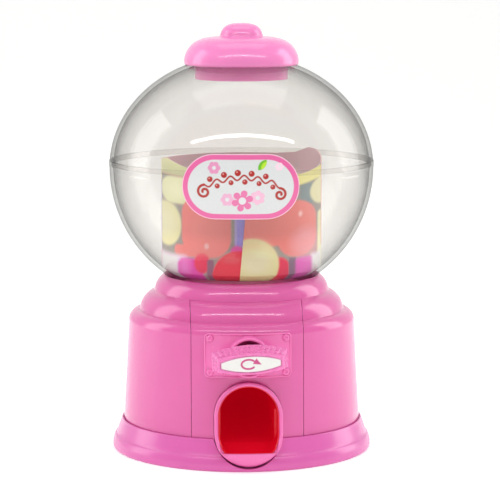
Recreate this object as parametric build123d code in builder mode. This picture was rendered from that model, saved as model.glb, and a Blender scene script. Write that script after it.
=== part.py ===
"""A small toy gumball machine: a clear two-part globe with a lift-off lid stands on a stepped base.

A knob on the front turns a pinion. The pinion turns a candy wheel under the globe by its crown teeth.
Each pocket of the wheel carries a sweet from the inlet of the hopper plate round to the hole at the
back of the deck. The sweet then rolls down the slide, under the pinion, to the spout at the front.

Millimetres. +Z is up, the front faces -Y, and the origin is the middle of the foot's underside.
"""

import os
from math import acos, cos, pi, radians, sin, sqrt, tan

from build123d import *

os.makedirs("parts", exist_ok=True)

# ---------------------------------------------------------------- driving dimensions
WALL = 1.8  # moulded wall of the base
FIT = 0.05  # radial clearance of a running fit
GAP = 0.3  # clearance between pieces that move past each other

FOOT_RADIUS = 42.7
FOOT_HEIGHT = 9.9
COVER_BOTTOM_Z = 1.1
COVER_TOP_Z = 2.9
COVER_RADIUS = 38.5

SPIGOT_RADIUS = 37.6  # part of the base that stands inside the foot ring
SHELL_FOOT_Z = 3.0
STEP_Z = 9.45
BODY_BOTTOM_RADIUS = 39.1
BODY_TOP_RADIUS = 37.3
SHOULDER_START_Z = 42.0
SHOULDER_Z = 46.2
TIER_TWO_Z = 52.4
TIER_ONE_RADIUS = 28.8
TIER_ONE_Z = 57.6
NECK_BORE_RADIUS = 24.7
LEDGE_Z = 52.0  # where the globe's neck and the hopper plate sit
WEB_Z = 50.2  # underside of that ledge

GLOBE_RADIUS = 43.3
GLOBE_Z = 93.0
DOME_RISE = 36.7
GLOBE_WALL = 1.2
SEAM_Z = 95.5
NECK_RADIUS = 24.4
MOUTH_RADIUS = 15.5
CARD_RADIUS = 26.3
CARD_THICKNESS = 0.35
LABEL_TURN = radians(-3.5)

LID_RADIUS = 18.75
TOTAL_HEIGHT = 140.0

PANEL_HALF_WIDTH = 17.85
KNOB_Z = 36.6  # height of the knob's axis
KNOB_FRONT_Y = -53.2
KNOB_BACK_Y = -45.2
KNOB_REST_ANGLE = -3.0
PLATE_WIDTH = 27.6
PLATE_HEIGHT = 14.0
COLLAR_FRONT_Y = -42.6
SPOUT_HALF_WIDTH = 10.85
SPOUT_WALL = 1.2
SPOUT_BACK_Y = -33.0

WHEEL_TOP_Z = WEB_Z - GAP
DECK_TOP_Z = 41.5
DECK_BOTTOM_Z = 39.9
POCKETS = 3
POCKET_CIRCLE = 14.0
POCKET_RADIUS = 6.0
EXIT_RADIUS = 6.6
AXLE_RADIUS = 3.0

CROWN_TEETH = 36
PINION_TEETH = 10
CROWN_RADIUS = 23.5  # at the middle of the teeth
TOOTH_FACE = 2.4
PRESSURE_ANGLE = 20.0
TOOTH_SHARE = 0.40  # of the pitch, so that the teeth mesh with backlash

SHAFT_RADIUS = 3.0
SHAFT_FLAT = 2.4  # from the axis to the flat
JOURNAL_RADIUS = 2.0  # the thinner rear end that runs in the deck's bearing
BEARING_FRONT_Y = -18.0
BEARING_BACK_Y = -15.0

SLIDE_HALF_WIDTH = 8.6
SLIDE_WALL = 1.2
SLIDE_TOP = (22.0, 24.0)  # y and z of the floor at the back
SLIDE_LOW = (-32.8, 6.4)  # and at the front

BOSS_RADIUS = 28.6
PILLAR_RADIUS = 32.4

# ---------------------------------------------------------------- derived sizes
MODULE = 2 * CROWN_RADIUS / CROWN_TEETH
PINION_RADIUS = MODULE * PINION_TEETH / 2
PITCH_Z = KNOB_Z + PINION_RADIUS
ADDENDUM = 0.8 * MODULE
DEDENDUM = 1.1 * MODULE
ROOT_Z = PITCH_Z + DEDENDUM
PINION_FRONT_Y = -CROWN_RADIUS - TOOTH_FACE / 2
PINION_BACK_Y = -CROWN_RADIUS + TOOTH_FACE / 2
HALF_PITCH_ANGLE = TOOTH_SHARE * pi / PINION_TEETH


def body_radius(z):
    """Outer radius of the body's slightly tapered wall."""
    taper = (BODY_BOTTOM_RADIUS - BODY_TOP_RADIUS) / (SHOULDER_START_Z - STEP_Z)
    return BODY_BOTTOM_RADIUS - (z - STEP_Z) * taper


def slide_z(y):
    """Height of the slide's floor."""
    slope = (SLIDE_TOP[1] - SLIDE_LOW[1]) / (SLIDE_TOP[0] - SLIDE_LOW[0])
    return SLIDE_LOW[1] + (y - SLIDE_LOW[0]) * slope


def bowl_radius(z, inset=0.0):
    """Radius of the spherical lower half of the globe at a height."""
    return sqrt((GLOBE_RADIUS - inset) ** 2 - (GLOBE_Z - z) ** 2)


def finish(piece, name):
    """Labels a finished piece and writes its STEP file."""
    piece.part.label = name
    export_step(piece.part, f"parts/{name}.step")


# ---------------------------------------------------------------- shapes used more than once
def spout_prism(grow, back_y, front_y):
    """The spout's outline, an arch above and a rounded belly below, run from back to front."""
    with BuildPart() as prism:
        with BuildSketch(Plane.XZ.offset(-back_y)):
            with Locations((0, 17.5)):
                Ellipse(SPOUT_HALF_WIDTH + grow, 10.7 + grow)
            with Locations((0, 12.3)):
                Ellipse(SPOUT_HALF_WIDTH + grow, 11.0 + grow)
            with Locations((0, 14.9)):
                Rectangle(2 * (SPOUT_HALF_WIDTH + grow), 5.2)
        extrude(amount=back_y - front_y)
    return prism.part


def panel_window(half_width, inner_radius):
    """The straight-sided block of the front that belongs to the panel, outside an inner radius."""
    reach = 60.0
    with BuildPart() as window:
        with BuildSketch():
            with Locations((0, -reach / 2)):
                Rectangle(2 * half_width, reach)
            Circle(inner_radius, mode=Mode.SUBTRACT)
        extrude(amount=TIER_TWO_Z + 1)
    return window.part


def skin(low_z, high_z, inner, outer):
    """A band of the body's tapered wall between two offsets from its outer surface."""
    with BuildPart() as band:
        with BuildSketch(Plane.XZ):
            with BuildLine():
                Polyline(
                    (body_radius(low_z) + inner, low_z),
                    (body_radius(low_z) + outer, low_z),
                    (body_radius(high_z) + outer, high_z),
                    (body_radius(high_z) + inner, high_z),
                    close=True,
                )
            make_face()
        revolve(axis=Axis.Z)
    return band.part


def lens_prism(y, length, height, end_height, amount, taper=0.0):
    """A boat-shaped block square to the knob's axis, turned to the knob's rest angle."""
    turn = radians(KNOB_REST_ANGLE)
    plane = Plane(origin=(0, y, KNOB_Z), x_dir=(cos(turn), 0, -sin(turn)), z_dir=(0, -1, 0))
    with BuildPart() as prism:
        with BuildSketch(plane):
            with BuildLine():
                ThreePointArc((-length / 2, end_height / 2), (0, height / 2), (length / 2, end_height / 2))
                Line((length / 2, end_height / 2), (length / 2, -end_height / 2))
                ThreePointArc((length / 2, -end_height / 2), (0, -height / 2), (-length / 2, -end_height / 2))
                Line((-length / 2, -end_height / 2), (-length / 2, end_height / 2))
            make_face()
        extrude(amount=amount, taper=taper)
    return prism.part


# ---------------------------------------------------------------- stepped housing
# The whole stepped wall is drawn once. The base shell and the front panel are parted from it.
with BuildPart() as housing:
    with BuildSketch(Plane.XZ):
        with BuildLine():
            Polyline(
                (0, SHELL_FOOT_Z),
                (SPIGOT_RADIUS, SHELL_FOOT_Z),
                (SPIGOT_RADIUS, STEP_Z),
                (BODY_BOTTOM_RADIUS, STEP_Z),
                (BODY_TOP_RADIUS, SHOULDER_START_Z),
            )
            ThreePointArc((BODY_TOP_RADIUS, SHOULDER_START_Z), (36.2, 45.15), (33.7, SHOULDER_Z))
            ThreePointArc((33.7, SHOULDER_Z), (32.2, 50.0), (TIER_ONE_RADIUS, TIER_TWO_Z))
            ThreePointArc((TIER_ONE_RADIUS, TIER_TWO_Z), (27.8, 55.4), (25.4, TIER_ONE_Z))
            Polyline((25.4, TIER_ONE_Z), (0, TIER_ONE_Z), (0, SHELL_FOOT_Z))
        make_face()
    revolve(axis=Axis.Z)
    with BuildSketch(Plane.XZ):
        with BuildLine():
            Polyline(
                (0, SHELL_FOOT_Z - 1),
                (SPIGOT_RADIUS - WALL, SHELL_FOOT_Z - 1),
                (SPIGOT_RADIUS - WALL, STEP_Z + 1.2),
                (body_radius(STEP_Z + 2.6) - WALL, STEP_Z + 2.6),
                (BODY_TOP_RADIUS - WALL, SHOULDER_START_Z),
            )
            ThreePointArc((BODY_TOP_RADIUS - WALL, SHOULDER_START_Z), (34.6, 43.7), (31.9, SHOULDER_Z - WALL))
            Line((31.9, SHOULDER_Z - WALL), (31.9, SHOULDER_Z))
            ThreePointArc((31.9, SHOULDER_Z), (30.9, 48.6), (28.4, WEB_Z))
            Polyline((28.4, WEB_Z), (0, WEB_Z), (0, SHELL_FOOT_Z - 1))
        make_face()
    revolve(axis=Axis.Z, mode=Mode.SUBTRACT)

# ---------------------------------------------------------------- base shell
# One moulding: tier ring with the globe's socket, stepped wall, screw bosses and cover pillars.
with BuildPart() as base_shell:
    add(housing.part)
    add(panel_window(PANEL_HALF_WIDTH + 0.1, TIER_ONE_RADIUS + 0.1), mode=Mode.SUBTRACT)
    with BuildSketch(Plane.XY.offset(DECK_TOP_Z)):
        with PolarLocations(BOSS_RADIUS, 3, start_angle=0, angular_range=270):
            Circle(2.5)
    extrude(amount=WEB_Z + 0.4 - DECK_TOP_Z)
    with BuildSketch(Plane.XY.offset(SHELL_FOOT_Z)):
        with PolarLocations(PILLAR_RADIUS, 4, start_angle=45):
            Circle(3.1)
    extrude(amount=SHOULDER_Z - 1.0 - SHELL_FOOT_Z)
    with BuildSketch(Plane.XY.offset(DECK_TOP_Z)):
        with PolarLocations(BOSS_RADIUS, 3, start_angle=0, angular_range=270):
            Circle(1.12)
    extrude(amount=6.5, mode=Mode.SUBTRACT)
    with BuildSketch(Plane.XY.offset(SHELL_FOOT_Z)):
        with PolarLocations(PILLAR_RADIUS, 4, start_angle=45):
            Circle(1.12)
    extrude(amount=9.0, mode=Mode.SUBTRACT)
    with BuildSketch(Plane.XY.offset(LEDGE_Z)):
        Circle(NECK_BORE_RADIUS)
    extrude(amount=10, mode=Mode.SUBTRACT)
    with BuildSketch(Plane.XY.offset(TIER_ONE_Z - 0.9)):
        Circle(NECK_BORE_RADIUS + 0.45)
    extrude(amount=10, mode=Mode.SUBTRACT)
    with BuildSketch(Plane.XY.offset(WEB_Z - 1)):
        Circle(20.8)
    extrude(amount=10, mode=Mode.SUBTRACT)
finish(base_shell, "base_shell")

# ---------------------------------------------------------------- front panel
# Carries the knob plate and the spout. Its two lips lie behind the edges of the shell's window.
with BuildPart() as lip_band:
    add(skin(12.5, 41.5, -WALL - 1.2, -WALL - FIT))
    add(panel_window(PANEL_HALF_WIDTH + 2.0, 20.0), mode=Mode.INTERSECT)
    add(panel_window(PANEL_HALF_WIDTH - 2.3, 10.0), mode=Mode.SUBTRACT)
with BuildPart() as lip_root:
    add(skin(12.5, 41.5, -WALL - 0.6, -WALL + 0.4))
    add(panel_window(PANEL_HALF_WIDTH - 0.3, 20.0), mode=Mode.INTERSECT)
    add(panel_window(PANEL_HALF_WIDTH - 2.3, 10.0), mode=Mode.SUBTRACT)
with BuildPart() as front_panel:
    add(housing.part)
    add(panel_window(PANEL_HALF_WIDTH, TIER_ONE_RADIUS + 0.3), mode=Mode.INTERSECT)
    add(lip_root.part)
    add(lip_band.part)
    with BuildSketch(Plane.XZ.offset(31.9)):
        with Locations((0, KNOB_Z)):
            Circle(5.6)
    extrude(amount=5.0)
    with BuildSketch(Plane.XZ.offset(30)):
        with Locations((0, KNOB_Z)):
            Circle(SHAFT_RADIUS + FIT)
    extrude(amount=12, mode=Mode.SUBTRACT)
    add(spout_prism(0.12, -30, -45), mode=Mode.SUBTRACT)
    with BuildSketch(Plane.XZ.offset(30)):
        with Locations((0, KNOB_Z)):
            with GridLocations(24.0, 10.8, 2, 2):
                Circle(0.62)
    extrude(amount=12, mode=Mode.SUBTRACT)
finish(front_panel, "front_panel")

# ---------------------------------------------------------------- foot ring
# A flared ring that the base stands in, notched at the front for the spout's belly.
with BuildPart() as foot_ring:
    with BuildSketch(Plane.XZ):
        with BuildLine():
            Polyline(
                (COVER_RADIUS + 0.2, COVER_TOP_Z),
                (COVER_RADIUS + 0.2, 0),
                (FOOT_RADIUS - 0.8, 0),
            )
            Line((FOOT_RADIUS - 0.8, 0), (FOOT_RADIUS - 0.1, 0.6))
            Spline(
                (FOOT_RADIUS - 0.1, 0.6),
                (FOOT_RADIUS, 1.5),
                (42.0, 3.6),
                (40.9, 6.5),
                (40.1, 8.8),
                (39.62, FOOT_HEIGHT),
            )
            Polyline(
                (39.62, FOOT_HEIGHT),
                (BODY_BOTTOM_RADIUS + 0.2, FOOT_HEIGHT),
                (BODY_BOTTOM_RADIUS + 0.2, STEP_Z - 0.05),
                (SPIGOT_RADIUS + 0.15, STEP_Z - 0.05),
                (SPIGOT_RADIUS + 0.15, COVER_TOP_Z),
                (COVER_RADIUS + 0.2, COVER_TOP_Z),
            )
        make_face()
    revolve(axis=Axis.Z)
    add(spout_prism(0.35, -30, -50), mode=Mode.SUBTRACT)
finish(foot_ring, "foot_ring")

# ---------------------------------------------------------------- bottom cover and its screws
with BuildPart() as bottom_cover:
    with BuildSketch(Plane.XY.offset(COVER_BOTTOM_Z)):
        Circle(COVER_RADIUS)
    extrude(amount=COVER_TOP_Z - COVER_BOTTOM_Z)
    with BuildSketch(Plane.XY.offset(COVER_BOTTOM_Z)):
        with PolarLocations(PILLAR_RADIUS, 4, start_angle=45):
            Circle(1.3)
    extrude(amount=3, mode=Mode.SUBTRACT)
    with BuildSketch(Plane.XY.offset(COVER_BOTTOM_Z)):
        with PolarLocations(PILLAR_RADIUS, 4, start_angle=45):
            Circle(2.5)
    extrude(amount=0.9, mode=Mode.SUBTRACT)
    with BuildSketch(Plane.XY.offset(COVER_BOTTOM_Z)):
        Circle(26.5)
        Circle(25.5, mode=Mode.SUBTRACT)
        Circle(14.5)
        Circle(13.5, mode=Mode.SUBTRACT)
    extrude(amount=0.5, mode=Mode.SUBTRACT)
finish(bottom_cover, "bottom_cover")


def screws(circle_radius, count, start, span, seat_z, head_radius, head_height, length):
    """Pan-head screws driven upwards: the heads hang below the seat."""
    with BuildPart() as group:
        with BuildSketch(Plane.XY.offset(seat_z - head_height)):
            with PolarLocations(circle_radius, count, start_angle=start, angular_range=span):
                Circle(head_radius)
        extrude(amount=head_height)
        with BuildSketch(Plane.XY.offset(seat_z)):
            with PolarLocations(circle_radius, count, start_angle=start, angular_range=span):
                Circle(1.1)
        extrude(amount=length)
        with BuildSketch(Plane.XY.offset(seat_z - head_height)):
            with PolarLocations(circle_radius, count, start_angle=start, angular_range=span):
                Rectangle(0.5, 2 * head_radius - 1.4)
                Rectangle(2 * head_radius - 1.4, 0.5)
        extrude(amount=0.5, mode=Mode.SUBTRACT)
    return group


cover_screws = screws(PILLAR_RADIUS, 4, 45, 360, COVER_BOTTOM_Z + 0.9, 2.3, 0.9, 9.0)
finish(cover_screws, "cover_screws")

deck_screws = screws(BOSS_RADIUS, 3, 0, 270, DECK_BOTTOM_Z, 2.2, 1.3, 7.5)
finish(deck_screws, "deck_screws")

# ---------------------------------------------------------------- dispensing deck
# Fixed floor under the wheel's pockets, with the wheel's post, the exit hole and the rear bearing.
with BuildPart() as dispensing_deck:
    with BuildSketch(Plane.XY.offset(DECK_BOTTOM_Z)):
        Circle(31.3)
        with PolarLocations(PILLAR_RADIUS, 4, start_angle=45):
            Circle(3.8, mode=Mode.SUBTRACT)
        with PolarLocations(BOSS_RADIUS, 3, start_angle=0, angular_range=270):
            Circle(1.3, mode=Mode.SUBTRACT)
        with Locations((0, -28.9)):
            Rectangle(17.0, 14.0, mode=Mode.SUBTRACT)
        with Locations((0, POCKET_CIRCLE)):
            Circle(EXIT_RADIUS, mode=Mode.SUBTRACT)
    extrude(amount=DECK_TOP_Z - DECK_BOTTOM_Z)
    with BuildSketch(Plane.XY.offset(DECK_BOTTOM_Z)):
        Circle(AXLE_RADIUS)
    extrude(amount=WHEEL_TOP_Z + 0.05 - DECK_BOTTOM_Z)
    with BuildSketch(Plane.XZ.offset(-BEARING_BACK_Y)):
        with Locations((0, KNOB_Z)):
            Circle(4.6)
        with Locations((0, KNOB_Z + 2)):
            Rectangle(9.2, 4.0)
    extrude(amount=BEARING_BACK_Y - BEARING_FRONT_Y)
    with BuildSketch(Plane.XY.offset(DECK_TOP_Z)):
        Circle(POCKET_CIRCLE + 8)
        Circle(AXLE_RADIUS + 0.2, mode=Mode.SUBTRACT)
    extrude(amount=5, mode=Mode.SUBTRACT)
    with BuildSketch(Plane.XZ.offset(10)):
        with Locations((0, KNOB_Z)):
            Circle(JOURNAL_RADIUS + FIT)
    extrude(amount=12, mode=Mode.SUBTRACT)
    with BuildSketch(Plane.XY.offset(WHEEL_TOP_Z + 0.05)):
        Circle(1.12)
    extrude(amount=-7.5, mode=Mode.SUBTRACT)
finish(dispensing_deck, "dispensing_deck")

# ---------------------------------------------------------------- candy slide
# A trough from the exit hole down to the spout. Its back is a closed duct up to the deck.
with BuildPart() as candy_slide:
    with BuildSketch(Plane.YZ.offset(-SLIDE_HALF_WIDTH - SLIDE_WALL)):
        with BuildLine():
            Polyline(
                (SLIDE_LOW[0], slide_z(SLIDE_LOW[0]) - SLIDE_WALL),
                (SLIDE_TOP[0] + SLIDE_WALL, slide_z(SLIDE_TOP[0]) - SLIDE_WALL),
                (SLIDE_TOP[0] + SLIDE_WALL, DECK_BOTTOM_Z),
                (5.0, DECK_BOTTOM_Z),
                (2.0, slide_z(2.0) + 12.0),
                (SLIDE_LOW[0], slide_z(SLIDE_LOW[0]) + 12.0),
                close=True,
            )
        make_face()
    extrude(amount=2 * (SLIDE_HALF_WIDTH + SLIDE_WALL))
    with BuildSketch(Plane.YZ.offset(-SLIDE_HALF_WIDTH)):
        with BuildLine():
            Polyline(
                (SLIDE_LOW[0] - 5, slide_z(SLIDE_LOW[0] - 5)),
                (SLIDE_TOP[0], slide_z(SLIDE_TOP[0])),
                (SLIDE_TOP[0], DECK_BOTTOM_Z + 5),
                (SLIDE_LOW[0] - 5, DECK_BOTTOM_Z + 5),
                close=True,
            )
        make_face()
    extrude(amount=2 * SLIDE_HALF_WIDTH, mode=Mode.SUBTRACT)
    with BuildSketch(Plane.XY.offset(COVER_TOP_Z)):
        with Locations((0, 15.0), (0, -14.0)):
            Rectangle(2 * SLIDE_HALF_WIDTH, 1.6)
    extrude(until=Until.NEXT)
finish(candy_slide, "candy_slide")

# ---------------------------------------------------------------- spout
# The arch stands a little proud of the panel. Below it the lip swells out into a rounded belly.
with BuildPart() as spout_hollow:
    add(spout_prism(-SPOUT_WALL, SPOUT_BACK_Y + 1, -50))
    with BuildSketch(Plane.YZ.offset(-20)):
        with BuildLine():
            Polyline(
                (-31, 6.5),
                (-38, 4.6),
                (-42.6, 3.6),
                (-43.7, 6.7),
                (-50, 6.7),
                (-50, 40),
                (-31, 40),
                close=True,
            )
        make_face()
    extrude(amount=40, mode=Mode.INTERSECT)
with BuildPart() as spout_flange:
    add(spout_prism(1.5, -33.2, -34.2))
    with Locations((0, -33.7, 14 + 20)):
        Box(60, 4, 40, mode=Mode.INTERSECT)
with BuildPart() as chute_spout:
    add(spout_prism(0, SPOUT_BACK_Y, -50))
    with BuildSketch(Plane.YZ.offset(-20)):
        with BuildLine():
            Polyline((-44.9, 6.2), (-42.3, 10.5), (-40.6, 17.0), (-39.9, 24.0), (-39.7, 30.0))
            Polyline((-39.7, 30.0), (SPOUT_BACK_Y, 30.0), (SPOUT_BACK_Y, 3.2), (-39.0, 3.2), (-41.4, 1.2))
            Line((-41.4, 1.2), (-43.4, 1.2))
            ThreePointArc((-43.4, 1.2), (-44.7, 3.3), (-44.9, 6.2))
        make_face()
    extrude(amount=40, mode=Mode.INTERSECT)
    add(spout_flange.part)
    add(spout_hollow.part, mode=Mode.SUBTRACT)
finish(chute_spout, "chute_spout")

# ---------------------------------------------------------------- knob plate
# Follows the panel's curve, with a thin raised rim and the collar round the shaft.
with BuildPart() as plate_rim:
    add(skin(25.0, 45.0, 0.5, 1.25))
    with BuildSketch(Plane.XZ.offset(20)):
        with Locations((0, KNOB_Z)):
            RectangleRounded(PLATE_WIDTH, PLATE_HEIGHT, 1.3)
            RectangleRounded(PLATE_WIDTH - 0.9, PLATE_HEIGHT - 0.9, 0.85, mode=Mode.SUBTRACT)
    extrude(amount=30, mode=Mode.INTERSECT)
with BuildPart() as knob_plate:
    add(skin(25.0, 45.0, 0.02, 0.9))
    with BuildSketch(Plane.XZ.offset(20)):
        with Locations((0, KNOB_Z)):
            RectangleRounded(PLATE_WIDTH, PLATE_HEIGHT, 1.3)
    extrude(amount=30, mode=Mode.INTERSECT)
    add(plate_rim.part)
    with BuildSketch(Plane.XZ.offset(38.0)):
        with Locations((0, KNOB_Z)):
            Circle(6.8)
    extrude(amount=-COLLAR_FRONT_Y - 38.0)
    with BuildSketch(Plane.XZ.offset(30)):
        with Locations((0, KNOB_Z)):
            Circle(5.5)
            with GridLocations(24.0, 10.8, 2, 2):
                Circle(0.62)
    extrude(amount=15, mode=Mode.SUBTRACT)
    add(housing.part, mode=Mode.SUBTRACT)
finish(knob_plate, "knob_plate")

# ---------------------------------------------------------------- plate rivets
with BuildPart() as plate_rivets:
    with BuildSketch(Plane.XZ.offset(34.5)):
        with Locations((0, KNOB_Z)):
            with GridLocations(24.0, 10.8, 2, 2):
                Circle(0.6)
    extrude(amount=3.6)
    with BuildSketch(Plane.XZ.offset(36.0)):
        with Locations((0, KNOB_Z)):
            with GridLocations(24.0, 10.8, 2, 2):
                Circle(1.15)
    extrude(amount=2.1)
    add(skin(25.0, 45.0, -1.0, 0.92), mode=Mode.SUBTRACT)
    with BuildSketch(Plane.XZ.offset(34.5)):
        with Locations((0, KNOB_Z)):
            with GridLocations(24.0, 10.8, 2, 2):
                Circle(0.6)
    extrude(amount=3.6)
    with BuildSketch(Plane.XZ.offset(37.8)):
        with Locations((0, KNOB_Z)):
            with GridLocations(24.0, 10.8, 2, 2):
                Circle(0.35)
    extrude(amount=1, mode=Mode.SUBTRACT)
finish(plate_rivets, "plate_rivets")

# ---------------------------------------------------------------- knob, its label, shaft, clip
with BuildPart() as shaft_socket:
    with BuildSketch(Plane.XZ.offset(39)):
        with Locations((0, KNOB_Z)):
            Circle(SHAFT_RADIUS + 0.02)
        with Locations((0, KNOB_Z + SHAFT_FLAT + 0.02 + 2)):
            Rectangle(10, 4, mode=Mode.SUBTRACT)
    extrude(amount=11.02)
with BuildPart() as knob:
    add(lens_prism(KNOB_BACK_Y, 23.8, 9.7, 6.0, KNOB_BACK_Y - KNOB_FRONT_Y, 11.7))
    with BuildSketch(Plane.XZ.offset(40.2)):
        with Locations((0, KNOB_Z)):
            Circle(4.2)
    extrude(amount=-KNOB_BACK_Y - 40.2)
    add(lens_prism(KNOB_FRONT_Y + 0.5, 19.1, 5.3, 1.9, 2.0), mode=Mode.SUBTRACT)
    add(shaft_socket.part, mode=Mode.SUBTRACT)
finish(knob, "knob")

with BuildPart() as knob_label:
    add(lens_prism(KNOB_FRONT_Y + 0.5, 18.9, 5.1, 1.7, 0.3))
finish(knob_label, "knob_label")

with BuildPart() as knob_shaft:
    with BuildSketch(Plane.XZ.offset(-BEARING_FRONT_Y + GAP)):
        with Locations((0, KNOB_Z)):
            Circle(SHAFT_RADIUS)
    extrude(amount=50.0 + BEARING_FRONT_Y - GAP)
    with BuildSketch(Plane.XZ.offset(13.0)):
        with Locations((0, KNOB_Z)):
            Circle(JOURNAL_RADIUS)
    extrude(amount=6.0)
    with BuildSketch(Plane.XZ.offset(13.95)):
        with Locations((0, KNOB_Z)):
            Circle(SHAFT_RADIUS)
            Circle(JOURNAL_RADIUS - 0.5, mode=Mode.SUBTRACT)
    extrude(amount=0.8, mode=Mode.SUBTRACT)
    with BuildSketch(Plane.XZ.offset(20.5)):
        with Locations((0, KNOB_Z + SHAFT_FLAT + 2)):
            Rectangle(10, 4)
    extrude(amount=11.2, mode=Mode.SUBTRACT)
    with BuildSketch(Plane.XZ.offset(40.0)):
        with Locations((0, KNOB_Z + SHAFT_FLAT + 2)):
            Rectangle(10, 4)
    extrude(amount=12, mode=Mode.SUBTRACT)
finish(knob_shaft, "knob_shaft")

with BuildPart() as shaft_clip:
    with BuildSketch(Plane.XZ.offset(14.05)):
        with Locations((0, KNOB_Z)):
            Circle(JOURNAL_RADIUS + 1.0)
            Circle(JOURNAL_RADIUS - 0.48, mode=Mode.SUBTRACT)
        with Locations((0, KNOB_Z - 3)):
            Rectangle(2.4, 6, mode=Mode.SUBTRACT)
    extrude(amount=0.6)
finish(shaft_clip, "shaft_clip")


# ---------------------------------------------------------------- drive pinion
def half_angle(radius):
    """Half of a pinion tooth's angle at a radius: an involute above its base circle."""
    base = PINION_RADIUS * cos(radians(PRESSURE_ANGLE))
    spread = tan(radians(PRESSURE_ANGLE)) - radians(PRESSURE_ANGLE)
    if radius <= base:
        return HALF_PITCH_ANGLE + spread
    roll = acos(base / radius)
    return HALF_PITCH_ANGLE + spread - (tan(roll) - roll)


def tooth_points():
    """Outline of one pinion tooth, pointing along local +Y."""
    low = PINION_RADIUS - DEDENDUM - 0.4
    high = PINION_RADIUS + ADDENDUM
    steps = [low, 6.1, 6.5, 6.9, 7.25, high]
    left = [(-r * sin(half_angle(r)), r * cos(half_angle(r))) for r in steps]
    right = [(-x, y) for x, y in reversed(left)]
    return left + right


with BuildPart() as drive_pinion:
    with BuildSketch(Plane.XZ.offset(-PINION_BACK_Y)):
        with Locations((0, KNOB_Z)):
            Circle(PINION_RADIUS - DEDENDUM)
            with PolarLocations(0, PINION_TEETH, start_angle=180.0 / PINION_TEETH):
                Polygon(*tooth_points(), align=None)
    extrude(amount=TOOTH_FACE)
    with BuildSketch(Plane.XZ.offset(-PINION_BACK_Y)):
        with Locations((0, KNOB_Z)):
            Circle(4.6)
    extrude(amount=31.6 + PINION_BACK_Y)
    with BuildSketch(Plane.XZ.offset(20.4)):
        with Locations((0, KNOB_Z)):
            Circle(SHAFT_RADIUS + 0.02)
        with Locations((0, KNOB_Z + SHAFT_FLAT + 0.02 + 2)):
            Rectangle(10, 4, mode=Mode.SUBTRACT)
    extrude(amount=12, mode=Mode.SUBTRACT)
finish(drive_pinion, "drive_pinion")

# ---------------------------------------------------------------- candy wheel
# Pockets run right through. The crown teeth hang from the flange and mesh with the pinion below.
with BuildPart() as crown_tooth:
    with BuildSketch(Plane.XZ.offset(CROWN_RADIUS - TOOTH_FACE / 2)):
        with BuildLine():
            pitch_half = TOOTH_SHARE * pi * MODULE / 2
            lean = tan(radians(PRESSURE_ANGLE))
            Polyline(
                (-pitch_half - lean * (DEDENDUM + 0.3), ROOT_Z + 0.3),
                (-pitch_half + lean * ADDENDUM, PITCH_Z - ADDENDUM),
                (pitch_half - lean * ADDENDUM, PITCH_Z - ADDENDUM),
                (pitch_half + lean * (DEDENDUM + 0.3), ROOT_Z + 0.3),
                close=True,
            )
        make_face()
    extrude(amount=TOOTH_FACE)
with BuildPart() as candy_wheel:
    with BuildSketch(Plane.XY.offset(ROOT_Z)):
        Circle(CROWN_RADIUS + TOOTH_FACE / 2 + 0.4)
    extrude(amount=WHEEL_TOP_Z - ROOT_Z)
    with BuildSketch(Plane.XY.offset(DECK_TOP_Z + GAP)):
        Circle(POCKET_CIRCLE + POCKET_RADIUS + 1.2)
    extrude(amount=WHEEL_TOP_Z - DECK_TOP_Z - GAP)
    with PolarLocations(0, CROWN_TEETH):
        add(crown_tooth.part)
    with BuildSketch(Plane.XY.offset(DECK_TOP_Z)):
        with PolarLocations(POCKET_CIRCLE, POCKETS, start_angle=-90):
            Circle(POCKET_RADIUS)
        Circle(AXLE_RADIUS + FIT)
    extrude(amount=12, mode=Mode.SUBTRACT)
finish(candy_wheel, "candy_wheel")

# ---------------------------------------------------------------- axle screw
with BuildPart() as axle_screw:
    with BuildSketch(Plane.XY.offset(WHEEL_TOP_Z + 0.05)):
        Circle(3.0)
    extrude(amount=0.25)
    with BuildSketch(Plane.XY.offset(WHEEL_TOP_Z + 0.3)):
        Circle(4.8)
    extrude(amount=0.9)
    with BuildSketch(Plane.XY.offset(WHEEL_TOP_Z - 6.5)):
        Circle(1.1)
    extrude(amount=7.0)
    with BuildSketch(Plane.XY.offset(WHEEL_TOP_Z + 1.2)):
        Rectangle(0.7, 5.0)
        Rectangle(5.0, 0.7)
    extrude(amount=-0.6, mode=Mode.SUBTRACT)
finish(axle_screw, "axle_screw")

# ---------------------------------------------------------------- hopper plate
# Fixed roof over the wheel: open over the front pockets, closed over the exit hole.
with BuildPart() as hopper_plate:
    with BuildSketch(Plane.XY.offset(LEDGE_Z)):
        Circle(NECK_RADIUS - GLOBE_WALL - 0.2)
        with BuildSketch(mode=Mode.SUBTRACT):
            Circle(POCKET_CIRCLE + 6.2)
            Circle(POCKET_CIRCLE - 6.2, mode=Mode.SUBTRACT)
            with BuildLine():
                Polyline((0, 0), (50, -18.2), (50, 50), (-50, 50), (-50, -18.2), close=True)
            make_face(mode=Mode.SUBTRACT)
    extrude(amount=1.4)
finish(hopper_plate, "hopper_plate")

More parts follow.
